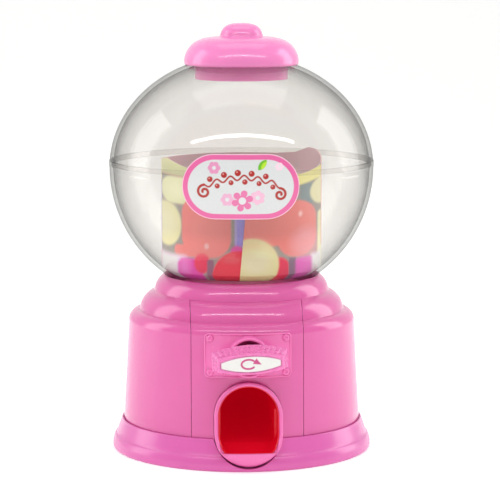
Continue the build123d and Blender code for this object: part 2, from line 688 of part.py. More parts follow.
# ---------------------------------------------------------------- globe bowl
with BuildPart() as globe_bowl:
    neck_z = GLOBE_Z - sqrt(GLOBE_RADIUS**2 - NECK_RADIUS**2)
    inner_neck = NECK_RADIUS - GLOBE_WALL
    inner_globe = GLOBE_RADIUS - GLOBE_WALL
    inner_neck_z = GLOBE_Z - sqrt(inner_globe**2 - inner_neck**2)
    middle_z = GLOBE_Z - GLOBE_RADIUS * sin(radians(26))
    inner_middle_z = GLOBE_Z - inner_globe * sin(radians(26))
    with BuildSketch(Plane.XZ):
        with BuildLine():
            Line((NECK_RADIUS, LEDGE_Z), (NECK_RADIUS, neck_z))
            ThreePointArc((NECK_RADIUS, neck_z), (bowl_radius(middle_z), middle_z), (GLOBE_RADIUS, GLOBE_Z))
            Polyline(
                (GLOBE_RADIUS, GLOBE_Z),
                (GLOBE_RADIUS + 0.12, GLOBE_Z + 0.4),
                (GLOBE_RADIUS + 0.12, SEAM_Z - 0.1),
                (GLOBE_RADIUS - 0.6, SEAM_Z - 0.1),
                (GLOBE_RADIUS - 0.6, GLOBE_Z + 0.6),
                (inner_globe, GLOBE_Z),
            )
            ThreePointArc(
                (inner_globe, GLOBE_Z),
                (bowl_radius(inner_middle_z, GLOBE_WALL), inner_middle_z),
                (inner_neck, inner_neck_z),
            )
            Polyline((inner_neck, inner_neck_z), (inner_neck, LEDGE_Z), (NECK_RADIUS, LEDGE_Z))
        make_face()
    revolve(axis=Axis.Z)
finish(globe_bowl, "globe_bowl")


# ---------------------------------------------------------------- globe dome
def dome_point(radius, inset=0.0):
    """A point of the flattened upper half of the globe."""
    rise = (DOME_RISE - inset) * sqrt(1 - (radius / (GLOBE_RADIUS - inset)) ** 2)
    return (radius, GLOBE_Z + rise)


def dome_point_at(z, inset=0.0):
    """The same surface, found by its height."""
    share = (z - GLOBE_Z) / (DOME_RISE - inset)
    return ((GLOBE_RADIUS - inset) * sqrt(1 - share**2), z)


with BuildPart() as globe_dome:
    outer = [dome_point_at(z) for z in (SEAM_Z, 101.0, 107.0, 113.0, 118.5)]
    outer += [dome_point(r) for r in (27.0, 21.0, MOUTH_RADIUS)]
    inner = [dome_point_at(z, GLOBE_WALL) for z in (SEAM_Z, 101.0, 107.0, 113.0, 118.0)]
    inner += [dome_point(r, GLOBE_WALL) for r in (26.0, 20.5, MOUTH_RADIUS)]
    with BuildSketch(Plane.XZ):
        with BuildLine():
            Spline(*outer)
            Line(outer[-1], inner[-1])
            Spline(*inner)
            Polyline(
                inner[0],
                (GLOBE_RADIUS - 1.4, GLOBE_Z + 0.8),
                (GLOBE_RADIUS - 0.65, GLOBE_Z + 0.8),
                (GLOBE_RADIUS - 0.65, SEAM_Z),
                outer[0],
            )
        make_face()
    revolve(axis=Axis.Z)
finish(globe_dome, "globe_dome")

# ---------------------------------------------------------------- globe label
# A thin sticker across the seam, turned a little towards the left.
with BuildPart() as globe_label:
    with BuildSketch(Plane.XZ):
        with BuildLine():
            low = [(bowl_radius(z), z) for z in (79.0, 84.0, 89.0)]
            near = [(x + 0.14, z) for x, z in low + [(GLOBE_RADIUS, 93.2), (GLOBE_RADIUS, 95.5)]]
            near += [(x + 0.14, z) for x, z in [dome_point_at(99.0), dome_point_at(102.5)]]
            far = [(x + 0.22, z) for x, z in near]
            Spline(*near)
            Line(near[-1], far[-1])
            Spline(*reversed(far))
            Line(far[0], near[0])
        make_face()
    revolve(axis=Axis.Z)
    across = (cos(LABEL_TURN), sin(LABEL_TURN), 0)
    outward = (sin(LABEL_TURN), -cos(LABEL_TURN), 0)
    turned = Plane(origin=(0, 0, 90.65), x_dir=across, z_dir=outward)
    with BuildSketch(turned.offset(10)):
        RectangleRounded(36.6, 20.5, 10.2)
    extrude(amount=50, mode=Mode.INTERSECT)
finish(globe_label, "globe_label")

# ---------------------------------------------------------------- printed card
# A rolled card that stands in the bowl. Its foot is turned in to follow the bowl.
with BuildPart() as printed_card:
    foot_z = 58.2
    turn_z = GLOBE_Z - sqrt((GLOBE_RADIUS - GLOBE_WALL - 0.1) ** 2 - CARD_RADIUS**2)
    foot_radius = bowl_radius(foot_z, GLOBE_WALL + 0.1)
    with BuildSketch(Plane.XZ):
        with BuildLine():
            Polyline(
                (foot_radius, foot_z),
                (CARD_RADIUS, turn_z),
                (CARD_RADIUS, 98.0),
                (CARD_RADIUS - CARD_THICKNESS, 98.0),
                (CARD_RADIUS - CARD_THICKNESS, turn_z + 0.1),
                (foot_radius - CARD_THICKNESS, foot_z + 0.2),
                close=True,
            )
        make_face()
    revolve(axis=Axis.Z)
finish(printed_card, "printed_card")

# ---------------------------------------------------------------- lid
# Lifts straight off. The skirt drops into the globe's mouth and the finial is the grip.
with BuildPart() as lid:
    with BuildSketch(Plane.XZ):
        with BuildLine():
            Polyline((16.9, 127.2), (18.1, 126.35), (LID_RADIUS, 127.2), (LID_RADIUS, 128.0))
            ThreePointArc((LID_RADIUS, 128.0), (17.7, 130.9), (15.8, 133.3))
            ThreePointArc((15.8, 133.3), (12.4, 135.0), (7.0, 135.65))
            Spline(
                (7.0, 135.65), (6.4, 137.5), (5.1, 138.95), (2.9, 139.8), (0, TOTAL_HEIGHT),
                tangents=((-0.1, 1), (-1, 0)),
            )
            Polyline(
                (0, TOTAL_HEIGHT),
                (0, 138.2),
                (5.2, 136.2),
                (5.2, 134.2),
                (9.4, 133.4),
                (14.0, 132.0),
                (14.0, 121.8),
                (15.2, 121.8),
                (15.2, 131.4),
                (16.6, 130.2),
                (16.9, 127.2),
            )
        make_face()
    revolve(axis=Axis.Z)
finish(lid, "lid")
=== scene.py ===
"""A small toy gumball machine in pink moulded plastic: clear globe, printed card, ribbed knob, open spout.

The sections follow the machine as it is put together, from the foot ring up to the lid.
Lengths in the outlines are millimetres and become metres when a mesh is made.
"""

import math

import bmesh
import bpy
import numpy as np
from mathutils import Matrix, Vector


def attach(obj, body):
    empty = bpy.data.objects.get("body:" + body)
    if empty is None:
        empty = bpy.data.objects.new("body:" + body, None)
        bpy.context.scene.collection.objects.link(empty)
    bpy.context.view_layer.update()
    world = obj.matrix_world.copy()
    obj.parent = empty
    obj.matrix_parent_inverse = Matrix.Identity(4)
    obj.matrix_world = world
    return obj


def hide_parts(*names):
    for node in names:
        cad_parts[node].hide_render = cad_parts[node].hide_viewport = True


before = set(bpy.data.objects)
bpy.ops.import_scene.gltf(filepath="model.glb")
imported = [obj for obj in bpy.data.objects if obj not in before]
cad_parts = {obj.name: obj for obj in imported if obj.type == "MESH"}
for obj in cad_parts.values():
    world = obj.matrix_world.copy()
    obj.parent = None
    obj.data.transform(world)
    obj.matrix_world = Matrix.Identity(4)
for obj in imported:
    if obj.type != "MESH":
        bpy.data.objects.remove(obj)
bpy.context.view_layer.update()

# ---------------------------------------------------------------- camera
# Stands a little to the left of the front and a little above the globe's middle, looking down.
CAMERA_AWAY, CAMERA_HIGH = 0.756, 0.166  # from the toy's axis, and above the table
camera_side = math.radians(-3.2)
camera_heading = math.radians(3.4135)
camera_dip = math.radians(7.59)


def placed(name, data):
    """An object made of this data, linked into the scene."""
    made = bpy.data.objects.new(name, data)
    bpy.context.collection.objects.link(made)
    return made


camera_data = bpy.data.cameras.new("camera")
camera = placed("camera", camera_data)
bpy.context.scene.camera = camera
camera.location = (CAMERA_AWAY * math.sin(camera_side), -CAMERA_AWAY * math.cos(camera_side), CAMERA_HIGH)
camera_forward = Vector((
    math.sin(camera_heading) * math.cos(camera_dip),
    math.cos(camera_heading) * math.cos(camera_dip),
    -math.sin(camera_dip),
))
camera.rotation_mode = "QUATERNION"
camera.rotation_quaternion = camera_forward.to_track_quat("-Z", "Y")
camera_data.sensor_width = 36.0
camera_data.lens = 166.2
camera_data.clip_start = 0.05
camera_data.clip_end = 20.0

# ---------------------------------------------------------------- studio
# A white paper sweep under and behind the toy, lit by a long strip above the camera, a box on each
# side, a wide box overhead and a white surround.
bpy.context.scene.view_settings.view_transform = "Standard"


def linear(hex_colour):
    """An sRGB hex colour as linear RGBA."""
    channels = [int(hex_colour[i:i + 2], 16) / 255 for i in (1, 3, 5)]
    curve = [c / 12.92 if c <= 0.04045 else ((c + 0.055) / 1.055) ** 2.4 for c in channels]
    return (*curve, 1.0)


def add(tree, kind, settings=None, links=None):
    """Adds a node, sets its properties and input values, and links its inputs to other sockets."""
    made = tree.nodes.new(kind)
    for key, value in (settings or {}).items():
        if isinstance(key, str) and hasattr(made, key) and key not in made.inputs:
            setattr(made, key, value)
        else:
            made.inputs[key].default_value = value
    for key, socket in (links or {}).items():
        tree.links.new(socket, made.inputs[key])
    return made


def new_material(name):
    """An empty node material with its output node."""
    material = bpy.data.materials.new(name)
    material.use_nodes = True
    material.node_tree.nodes.clear()
    return material, material.node_tree, material.node_tree.nodes.new("ShaderNodeOutputMaterial")


def noise(tree, scale, detail, roughness=0.5):
    """A noise pattern over the piece's own coordinates, as a socket. Its features are about 1 / scale metres."""
    return add(tree, "ShaderNodeTexNoise", {"Scale": scale, "Detail": detail, "Roughness": roughness},
               {"Vector": add(tree, "ShaderNodeTexCoord").outputs["Object"]}).outputs["Fac"]


def ranged(tree, value, low, high):
    """A value from 0 to 1 spread between two others, as a socket."""
    return add(tree, "ShaderNodeMapRange", {"To Min": low, "To Max": high}, {"Value": value}).outputs["Result"]


def blend(tree, share, first, second):
    """A blend of two sRGB colours, as a socket."""
    mix = add(tree, "ShaderNodeMix", {"data_type": "RGBA"}, {"Factor": share})
    mix.inputs["A"].default_value = linear(first)
    mix.inputs["B"].default_value = linear(second)
    return mix.outputs["Result"]


world = bpy.data.worlds.new("white_surround")
bpy.context.scene.world = world
world.use_nodes = True
tree = world.node_tree
surround = tree.nodes["Background"].inputs
surround["Color"].default_value = linear("#f6f6f6")
# the room in front is a little darker than the ceiling
direction = add(tree, "ShaderNodeSeparateXYZ", None, {"Vector": add(tree, "ShaderNodeTexCoord").outputs["Generated"]})
level = add(tree, "ShaderNodeMapRange", {"From Min": -0.2, "From Max": 0.9, "To Min": 0.50, "To Max": 0.70},
            {"Value": direction.outputs["Z"]})
tree.links.new(level.outputs["Result"], surround["Strength"])

# seamless background paper: matt, with a very faint fibre
paper, tree, out = new_material("background_paper")
shade = blend(tree, noise(tree, 180.0, 4.0), "#f6f6f4", "#f9f9f8")
surface = add(tree, "ShaderNodeBsdfPrincipled", {"Roughness": 0.95, "Emission Strength": 0.24},
              {"Base Color": shade, "Emission Color": shade})
tree.links.new(surface.outputs[0], out.inputs["Surface"])

sweep_mesh = bpy.data.meshes.new("paper_sweep")
sweep = bmesh.new()
BEND_START, BEND_RADIUS, BEND_STEPS = 0.9, 0.6, 24
bend = [math.pi / 2 * i / BEND_STEPS for i in range(1, BEND_STEPS + 1)]
sweep_line = [(-2.0, 0.0), (BEND_START, 0.0)]
sweep_line += [(BEND_START + BEND_RADIUS * math.sin(a), BEND_RADIUS - BEND_RADIUS * math.cos(a)) for a in bend]
sweep_line += [(BEND_START + BEND_RADIUS, 3.0)]
rows = [[sweep.verts.new((x, y, z)) for x in (-3.0, 3.0)] for y, z in sweep_line]
for near, far in zip(rows, rows[1:]):
    sweep.faces.new((near[0], near[1], far[1], far[0]))
sweep.to_mesh(sweep_mesh)
sweep_mesh.materials.append(paper)
for face in sweep_mesh.polygons:
    face.use_smooth = True
sweep_object = placed("paper_sweep", sweep_mesh)


def soft_box(name, place, width, height, power):
    """A white area light aimed at the middle of the toy."""
    lamp = bpy.data.lights.new(name, "AREA")
    lamp.shape = "RECTANGLE"
    lamp.size, lamp.size_y, lamp.energy = width, height, power
    holder = placed(name, lamp)
    holder.location = place
    holder.rotation_mode = "QUATERNION"
    holder.rotation_quaternion = (Vector((0, 0, 0.07)) - Vector(place)).to_track_quat("-Z", "Y")


soft_box("long_box_above", (-0.02, -0.70, 0.80), 1.80, 0.045, 5.2)
soft_box("box_left", (-0.62, 0.14, 0.24), 0.30, 0.70, 1.65)
soft_box("box_right", (0.62, 0.16, 0.24), 0.30, 0.70, 1.9)
soft_box("box_overhead", (0.0, 0.10, 0.95), 0.80, 0.50, 1.7)

# ---------------------------------------------------------------- foot ring
# A flared ring of glossy pink ABS that the base is pressed into. It has a shallow line part way up,
# a rolled lower edge, and a notch at the front that the spout's belly drops into.


def arc(start, middle, end, count):
    """Points on the circle through three points, both ends included."""
    (ax, ay), (bx, by), (cx, cy) = start, middle, end
    d = 2 * (ax * (by - cy) + bx * (cy - ay) + cx * (ay - by))
    ux = ((ax**2 + ay**2) * (by - cy) + (bx**2 + by**2) * (cy - ay) + (cx**2 + cy**2) * (ay - by)) / d
    uy = ((ax**2 + ay**2) * (cx - bx) + (bx**2 + by**2) * (ax - cx) + (cx**2 + cy**2) * (bx - ax)) / d
    radius = math.hypot(ax - ux, ay - uy)
    first = math.atan2(ay - uy, ax - ux)
    through = (math.atan2(by - uy, bx - ux) - first) % math.tau
    total = (math.atan2(cy - uy, cx - ux) - first) % math.tau
    if through > total:
        total -= math.tau
    return [
        (ux + radius * math.cos(first + total * i / count), uy + radius * math.sin(first + total * i / count))
        for i in range(count + 1)
    ]


def eased(outline, radius, steps=3):
    """A closed outline with every sharp corner rounded, as a mould leaves it."""
    done = []
    total = len(outline)
    for i in range(total):
        before, here, after = Vector(outline[i - 1]), Vector(outline[i]), Vector(outline[(i + 1) % total])
        back, ahead = before - here, after - here
        turn = back.angle(ahead) if back.length > 1e-6 and ahead.length > 1e-6 else math.pi
        if turn > math.radians(155):
            done.append(tuple(here))
            continue
        cut = min(radius, back.length * 0.45, ahead.length * 0.45)
        first, last = here + back.normalized() * cut, here + ahead.normalized() * cut
        for k in range(steps + 1):
            t = k / steps
            done.append(tuple(first * (1 - t) ** 2 + here * (2 * t * (1 - t)) + last * t**2))
    return done


def turned(outline, segments=256, spread=360.0):
    """A closed outline of (radius, height) swept round the Z axis, evenly to both sides of the front."""
    work = bmesh.new()
    whole = spread >= 360.0
    count = segments if whole else segments + 1
    rings = []
    for i in range(count):
        turn = math.radians(spread * i / segments - spread / 2)
        rings.append([
            work.verts.new((r * math.sin(turn) / 1000, -r * math.cos(turn) / 1000, z / 1000)) for r, z in outline
        ])
    pairs = list(zip(rings, rings[1:] + rings[:1])) if whole else list(zip(rings, rings[1:]))
    for near, far in pairs:
        for k in range(len(outline)):
            after = (k + 1) % len(outline)
            if outline[k][0] < 1e-6 and outline[after][0] < 1e-6:
                continue
            work.faces.new((near[k], near[after], far[after], far[k]))
    if not whole:
        work.faces.new(rings[0])
        work.faces.new(list(reversed(rings[-1])))
    bmesh.ops.remove_doubles(work, verts=work.verts, dist=1e-7)
    bmesh.ops.recalc_face_normals(work, faces=work.faces)
    return work


def ring_skin(rings, closed=True, ends=False):
    """Joins rings of points into a skin. Lengths are millimetres."""
    work = bmesh.new()
    made = [[work.verts.new(Vector(p) / 1000) for p in ring] for ring in rings]
    for near, far in zip(made, made[1:] + made[:1]) if closed else zip(made, made[1:]):
        for i in range(len(near)):
            after = (i + 1) % len(near)
            work.faces.new((near[i], near[after], far[after], far[i]))
    if ends:
        work.faces.new(made[0])
        work.faces.new(list(reversed(made[-1])))
    bmesh.ops.recalc_face_normals(work, faces=work.faces)
    return work


def smoothed(mesh, sharp):
    """Shades a mesh smooth, but for edges sharper than an angle in degrees."""
    for face in mesh.polygons:
        face.use_smooth = True
    mesh.set_sharp_from_angle(angle=math.radians(sharp))
    return mesh


def as_piece(name, work, sharp=38.0):
    """Turns a bmesh into a smooth-shaded object."""
    mesh = bpy.data.meshes.new(name)
    work.to_mesh(mesh)
    work.free()
    return placed(name, smoothed(mesh, sharp))


def settled(piece, sharp=38.0):
    """Replaces a piece's mesh by the result of its modifiers and removes them."""
    graph = bpy.context.evaluated_depsgraph_get()
    mesh = bpy.data.meshes.new_from_object(piece.evaluated_get(graph), depsgraph=graph)
    piece.modifiers.clear()
    piece.data = smoothed(mesh, sharp)


def coat(piece, material):
    """Gives a piece this material and no other."""
    piece.data.materials.clear()
    piece.data.materials.append(material)


def cut(piece, tool, operation="DIFFERENCE"):
    """Cuts a piece by a tool object, which is then thrown away."""
    knife = piece.modifiers.new("cut", "BOOLEAN")
    knife.operation = operation
    knife.solver = "EXACT"
    knife.object = tool
    settled(piece)
    bpy.data.objects.remove(tool)


def eased_edges(piece, width):
    """Rounds a piece's sharp edges by a small width in millimetres."""
    bevel = piece.modifiers.new("eased", "BEVEL")
    bevel.width = width / 1000
    bevel.segments = 2
    bevel.limit_method = "ANGLE"
    bevel.angle_limit = math.radians(40)
    bevel.harden_normals = False
    settled(piece)


def spout_outline(grow, count=96):
    """The spout's front outline as (x, z, outward x, outward z): arch above, rounded belly below."""
    half_width, arch, belly = 10.85, 10.7, 11.0
    points = []
    for i in range(count):
        turn = math.tau * i / count + math.pi / count
        upper = math.sin(turn) > 0
        x = half_width * math.cos(turn)
        z = 17.5 + arch * math.sin(turn) if upper else 12.3 + belly * math.sin(turn)
        out_x, out_z = math.cos(turn) / half_width, math.sin(turn) / (arch if upper else belly)
        size = math.hypot(out_x, out_z)
        points.append((x + grow * out_x / size, z + grow * out_z / size, out_x / size, out_z / size))
    return points


def spout_tool(grow):
    """A prism on the spout's outline, for cutting the room it needs."""
    loops = [[(x, y, z) for x, z, _, _ in spout_outline(grow)] for y in (-52.0, -30.0)]
    return as_piece("spout_tool", ring_skin(loops, closed=False, ends=True))


# glossy ABS: injection moulded, dyed through. The eye sees a clean gloss with a faint orange peel,
# slight clouding of the dye and a little light carried through the thin walls.
def moulded_plastic(name, colour, deeper, gloss):
    """Injection-moulded plastic of a colour, clouded with a deeper one. gloss is its mean roughness."""
    material, tree, out = new_material(name)
    tint = blend(tree, noise(tree, 45.0, 3.0), deeper, colour)
    # wear of about 2 mm patches, seen only in the gloss
    rough = ranged(tree, noise(tree, 420.0, 5.0, 0.6), gloss - 0.05, gloss + 0.07)
    # orange peel of about 1.2 mm, drawn as deep as it needs to show
    relief = add(tree, "ShaderNodeBump", {"Strength": 0.06, "Distance": 0.0002}, {"Height": noise(tree, 800.0, 1.0)})
    surface = add(tree, "ShaderNodeBsdfPrincipled",
                  {"IOR": 1.53, "Coat Weight": 0.15, "Coat Roughness": 0.12, "Subsurface Weight": 0.12,
                   "Subsurface Scale": 0.0012},
                  {"Base Color": tint, "Roughness": rough, "Normal": relief.outputs["Normal"]})
    surface.inputs["Subsurface Radius"].default_value = (1.0, 0.35, 0.5)
    tree.links.new(surface.outputs[0], out.inputs["Surface"])
    return material


foot_outline = [(38.7, 2.9), (38.7, 0.0), (41.9, 0.0)]
foot_outline += arc((41.9, 0.0), (42.5, 0.35), (42.7, 1.2), 5)[1:]
foot_outline += [(42.68, 2.2), (42.45, 3.3), (42.12, 4.2), (41.9, 4.55), (41.6, 4.72), (41.35, 5.1)]
foot_outline += [(41.0, 6.2), (40.6, 7.4), (40.2, 8.6), (39.82, 9.55)]
foot_outline += arc((39.82, 9.55), (39.72, 9.82), (39.5, 9.9), 3)[1:]
foot_outline += [(39.3, 9.9), (39.3, 9.4), (37.75, 9.4), (37.75, 2.9)]
foot = as_piece("foot_ring_visual", turned(eased(foot_outline, 0.15)))
cut(foot, spout_tool(0.35))
eased_edges(foot, 0.25)
foot_plastic = moulded_plastic("abs_foot_pink", "#d762ab", "#d05aa4", 0.24)
coat(foot, foot_plastic)
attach(foot, "base")
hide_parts("foot_ring")

# ---------------------------------------------------------------- bottom cover and its screws
# A flat disc of the foot's own pink ABS, let into the foot ring's underside and held by four small
# steel screws. The screws and the clip inside the base are of the same steel.
coat(bpy.data.objects["bottom_cover"], foot_plastic)

# nickel-plated steel: bright, with the fine turning marks of a small screw head
steel, tree, out = new_material("nickel_plated_steel")
rough = ranged(tree, noise(tree, 2500.0, 2.0), 0.22, 0.38)
surface = add(tree, "ShaderNodeBsdfPrincipled", {"Metallic": 1.0}, {"Roughness": rough})
surface.inputs["Base Color"].default_value = linear("#c9c9cc")
tree.links.new(surface.outputs[0], out.inputs["Surface"])
for name in ("cover_screws", "deck_screws", "axle_screw", "shaft_clip"):
    coat(bpy.data.objects[name], steel)

# ---------------------------------------------------------------- base shell and front panel
# One stepped moulding with a window at the front, and the panel that closes the window.
# Both show the same three rounded tiers, so the seam runs across all of them.


def body_radius(z):
    """The radius of the base's tapered wall at a height."""
    return 39.1 - (z - 9.45) * 1.8 / (42.0 - 9.45)


tier_one = arc((37.3, 42.0), (36.2, 45.15), (33.7, 46.2), 12)
tier_two = arc((33.7, 46.2), (32.2, 50.0), (28.8, 52.4), 14)[1:]
wall_inner = arc((28.4, 50.2), (30.9, 48.6), (31.9, 46.2), 8) + [(31.9, 44.4)]
wall_inner += arc((31.9, 44.4), (34.6, 43.7), (35.5, 42.0), 8)[1:]
wall_inner += [(37.17, 12.05), (35.8, 10.65), (35.8, 3.0)]
wall_outer = [(37.6, 3.0), (37.6, 9.45), (39.0, 9.45), (39.1, 9.7)]
wall_outer += [(body_radius(z), z) for z in (14.0, 20.0, 26.0, 32.0, 38.0)]

shell_outline = wall_outer + tier_one + tier_two
shell_outline += arc((28.8, 52.4), (27.8, 55.4), (25.6, 57.55), 12)[1:]
shell_outline += [(25.35, 57.6), (25.15, 57.45), (25.15, 56.7), (24.7, 56.4), (24.7, 52.0), (20.8, 52.0)]
shell_outline += [(20.8, 50.2)] + wall_inner
shell = as_piece("base_shell_visual", turned(shell_outline))


def window_block(half_width, inner_radius, high_z):
    """The straight-sided block that the window and the panel share, outside an inner radius."""
    corner = math.asin(half_width / inner_radius)
    turns = [corner - 2 * corner * i / 32 for i in range(33)]
    points = [(inner_radius * math.sin(a), -inner_radius * math.cos(a)) for a in turns]
    points += [(-half_width, -60.0), (half_width, -60.0)]
    loops = [[(x, y, z) for x, y in points] for z in (-5.0, high_z)]
    return as_piece("window_block", ring_skin(loops, closed=False, ends=True))


cut(shell, window_block(17.97, 28.9, 52.42))
eased_edges(shell, 0.12)
base_plastic = moulded_plastic("abs_base_pink", "#d85fa2", "#d2589b", 0.16)
coat(shell, base_plastic)
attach(shell, "base")
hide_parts("base_shell")

panel_outline = wall_outer + tier_one + [p for p in tier_two if p[0] > 29.25]
panel_outline += [(29.1, 52.25), (29.1, 49.9)] + [p for p in wall_inner if p[0] > 29.3]
panel = as_piece("front_panel_visual", turned(panel_outline, 120, 84.0))
cut(panel, window_block(17.82, 29.1, 52.3), "INTERSECT")
cut(panel, spout_tool(0.12))
eased_edges(panel, 0.14)
coat(panel, base_plastic)
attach(panel, "base")
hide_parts("front_panel")

# ---------------------------------------------------------------- spout
# A moulding of glossy pink ABS pressed into the panel: a rounded arch that stands a little proud.
# Its lower edge swells forward into a lip with a rounded belly, and its inside leads back to the slide.
LIP_Z = 6.4


def rim_depth(x, z):
    """How far forward the rim stands at a point of the outline."""
    steps = [(LIP_Z, -44.3), (8.0, -43.3), (10.5, -42.2), (14.0, -41.2), (18.0, -40.5), (24.0, -40.0), (30.0, -39.8)]
    if z <= LIP_Z:
        return -44.3 - 0.7 * max(0.0, 1 - (x / 9.2) ** 2)
    for (low, near), (high, far) in zip(steps, steps[1:]):
        if z <= high:
            return near + (far - near) * (z - low) / (high - low)
    return -39.8


def lip_height(z):
    """The rim follows the outline, but runs straight across where the belly drops below it."""
    return LIP_Z + math.log1p(math.exp((z - LIP_Z) * 2.2)) / 2.2 if z < 14 else z


rings = []


def spout_ring(rule):
    """Adds a ring to the spout: a rule applied all round its outline."""
    rings.append([rule(*p) for p in spout_outline(0, 160)])


spout_ring(lambda x, z, ox, oz: (x, -33.2, max(z, 3.3)))
spout_ring(lambda x, z, ox, oz: (x, -38.8, max(z, 3.3) if z > 4 else 3.2 + (z - 1.3) * 0.04))
for step in range(9):
    def belly(x, z, ox, oz, s=math.pi / 2 * step / 8):
        rim_z = lip_height(z)
        rim_y = rim_depth(x, rim_z if z > LIP_Z else z) + 0.35
        start_y = -40.4 if z < 9 else -39.0
        return (x, start_y + (rim_y - start_y) * math.sin(s), z + (rim_z - z) * (1 - math.cos(s)))

    spout_ring(belly)
for inset, proud in ((0.12, 0.12), (0.35, -0.05), (0.65, -0.1), (0.95, 0.02), (1.15, 0.25), (1.22, 0.6)):
    def rim(x, z, ox, oz, inset=inset, proud=proud):
        rim_z = lip_height(z)
        rim_y = rim_depth(x, rim_z if z > LIP_Z else z)
        low = max(0.0, min(1.0, (9.0 - z) / 3.0))
        return (
            x - inset * ox * (1 - low) - inset * ox * low * 0.6,
            rim_y + proud * (1 - low) + inset * low * 0.9,
            rim_z - inset * oz * (1 - low) - low * max(0.0, proud) * 0.6 + 0.02,
        )

    spout_ring(rim)
spout_ring(lambda x, z, ox, oz: (x - 1.2 * ox, -42.7 if z < 7 else rim_depth(x, z) + 1.6, max(z - 1.2 * oz, 3.7)))
spout_ring(lambda x, z, ox, oz: (x - 1.2 * ox, -38.0, max(z - 1.2 * oz, 4.7)))
spout_ring(lambda x, z, ox, oz: (x - 1.2 * ox, -33.2, max(z - 1.2 * oz, 6.2)))
spout = as_piece("chute_spout_visual", ring_skin(rings), 50)
trim_plastic = moulded_plastic("abs_trim_pink", "#ea76b6", "#e46cae", 0.24)
spout.data.materials.append(trim_plastic)
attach(spout, "base")
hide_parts("chute_spout")

# ---------------------------------------------------------------- slide, deck, hopper plate, wheel, gear
# The working parts under the globe. The slide is deep red with a faint painted glow, the fixed plates are pink
# and the wheel and gear are white nylon.
slide_plastic = moulded_plastic("abs_slide_red_painted_glow", "#d00826", "#be0522", 0.38)
# painted glow: a faint red emission stands in for daylight that comes through the thin pink walls and lifts the red
# inside
slide_glow_inputs = slide_plastic.node_tree.nodes["Principled BSDF"].inputs
slide_glow_inputs["Emission Color"].default_value = linear("#c4001c")
slide_glow_inputs["Emission Strength"].default_value = 0.36
inner_plastic = moulded_plastic("abs_inner_pink", "#d64f90", "#cc4586", 0.35)
nylon = moulded_plastic("nylon_white", "#ece8e2", "#e4dfd8", 0.42)
for name, plastic in (("candy_slide", slide_plastic), ("dispensing_deck", inner_plastic),
                      ("hopper_plate", inner_plastic), ("knob_shaft", inner_plastic),
                      ("candy_wheel", nylon), ("drive_pinion", nylon)):
    coat(bpy.data.objects[name], plastic)

# the slide's moulded mouth: a thin red sleeve that lines the spout up to its rim, in the slide's red with its painted
# glow
sleeve_rings = []
for inset, rule in (
    (1.24, lambda x, z: (x, rim_depth(x, z) + 0.9 if z > 7.4 else -43.0, max(z, 4.1))),
    (1.24, lambda x, z: (x, -38.0, max(z, 4.95))),
    (1.24, lambda x, z: (x, -30.5, max(z, 6.9))),
    (1.55, lambda x, z: (x, -30.5, max(z, 7.2))),
    (1.55, lambda x, z: (x, -38.0, max(z, 5.25))),
    (1.5, lambda x, z: (x, rim_depth(x, z) + 1.0 if z > 7.4 else -42.8, max(z, 4.4))),
):
    sleeve_rings.append([rule(x - inset * ox, z - inset * oz) for x, z, ox, oz in spout_outline(0, 160)])
sleeve = as_piece("slide_mouth_visual", ring_skin(sleeve_rings), 50)
sleeve.data.materials.append(slide_plastic)
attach(sleeve, "base")

# ---------------------------------------------------------------- knob plate
# A thin pink escutcheon bent to the panel, with a raised edge and a collar that the knob's shaft turns in.
KNOB_Z = 36.6


def rounded_box(width, height, radius, count=160):
    """The outline of a rounded rectangle, evenly divided, starting at the right."""
    fine = []
    for corner_x, corner_z, start in ((1, 1, 0), (-1, 1, 90), (-1, -1, 180), (1, -1, 270)):
        for i in range(25):
            a = math.radians(start + 90 * i / 24)
            fine.append((corner_x * (width / 2 - radius) + radius * math.cos(a),
                         corner_z * (height / 2 - radius) + radius * math.sin(a)))
    return evenly(fine, count)


def evenly(fine, count):
    """A closed outline divided again into equal steps."""
    gaps = [math.dist(fine[i], fine[(i + 1) % len(fine)]) for i in range(len(fine))]
    step, even, travelled, k = sum(gaps) / count, [], 0.0, 0
    for i in range(count):
        while travelled + gaps[k] < i * step:
            travelled += gaps[k]
            k += 1
        t = (i * step - travelled) / gaps[k] if gaps[k] else 0.0
        a, b = fine[k], fine[(k + 1) % len(fine)]
        even.append((a[0] + (b[0] - a[0]) * t, a[1] + (b[1] - a[1]) * t))
    return even


def on_body(x, z, proud):
    """A point that stands proud of the body's wall, seen at (x, z) from the front."""
    return (x, -math.sqrt((body_radius(z) + proud) ** 2 - x**2), z)


def plate_edge(inset, corner):
    """The plate's outline, drawn in by an inset."""
    return rounded_box(27.6 - 2 * inset, 14.0 - 2 * inset, corner)


def collar(radius):
    """A circle whose points stand opposite those of the plate's outline."""
    return [(radius * x / math.hypot(x, z), radius * z / math.hypot(x, z)) for x, z in plate_edge(0, 1.3)]


def plate_face(outer, inner, shares, proud):
    """Rings across the plate's face or back, from one outline part way to another."""
    return [[on_body(a[0] + (b[0] - a[0]) * share, KNOB_Z + a[1] + (b[1] - a[1]) * share, proud)
             for a, b in zip(outer, inner)] for share in shares]


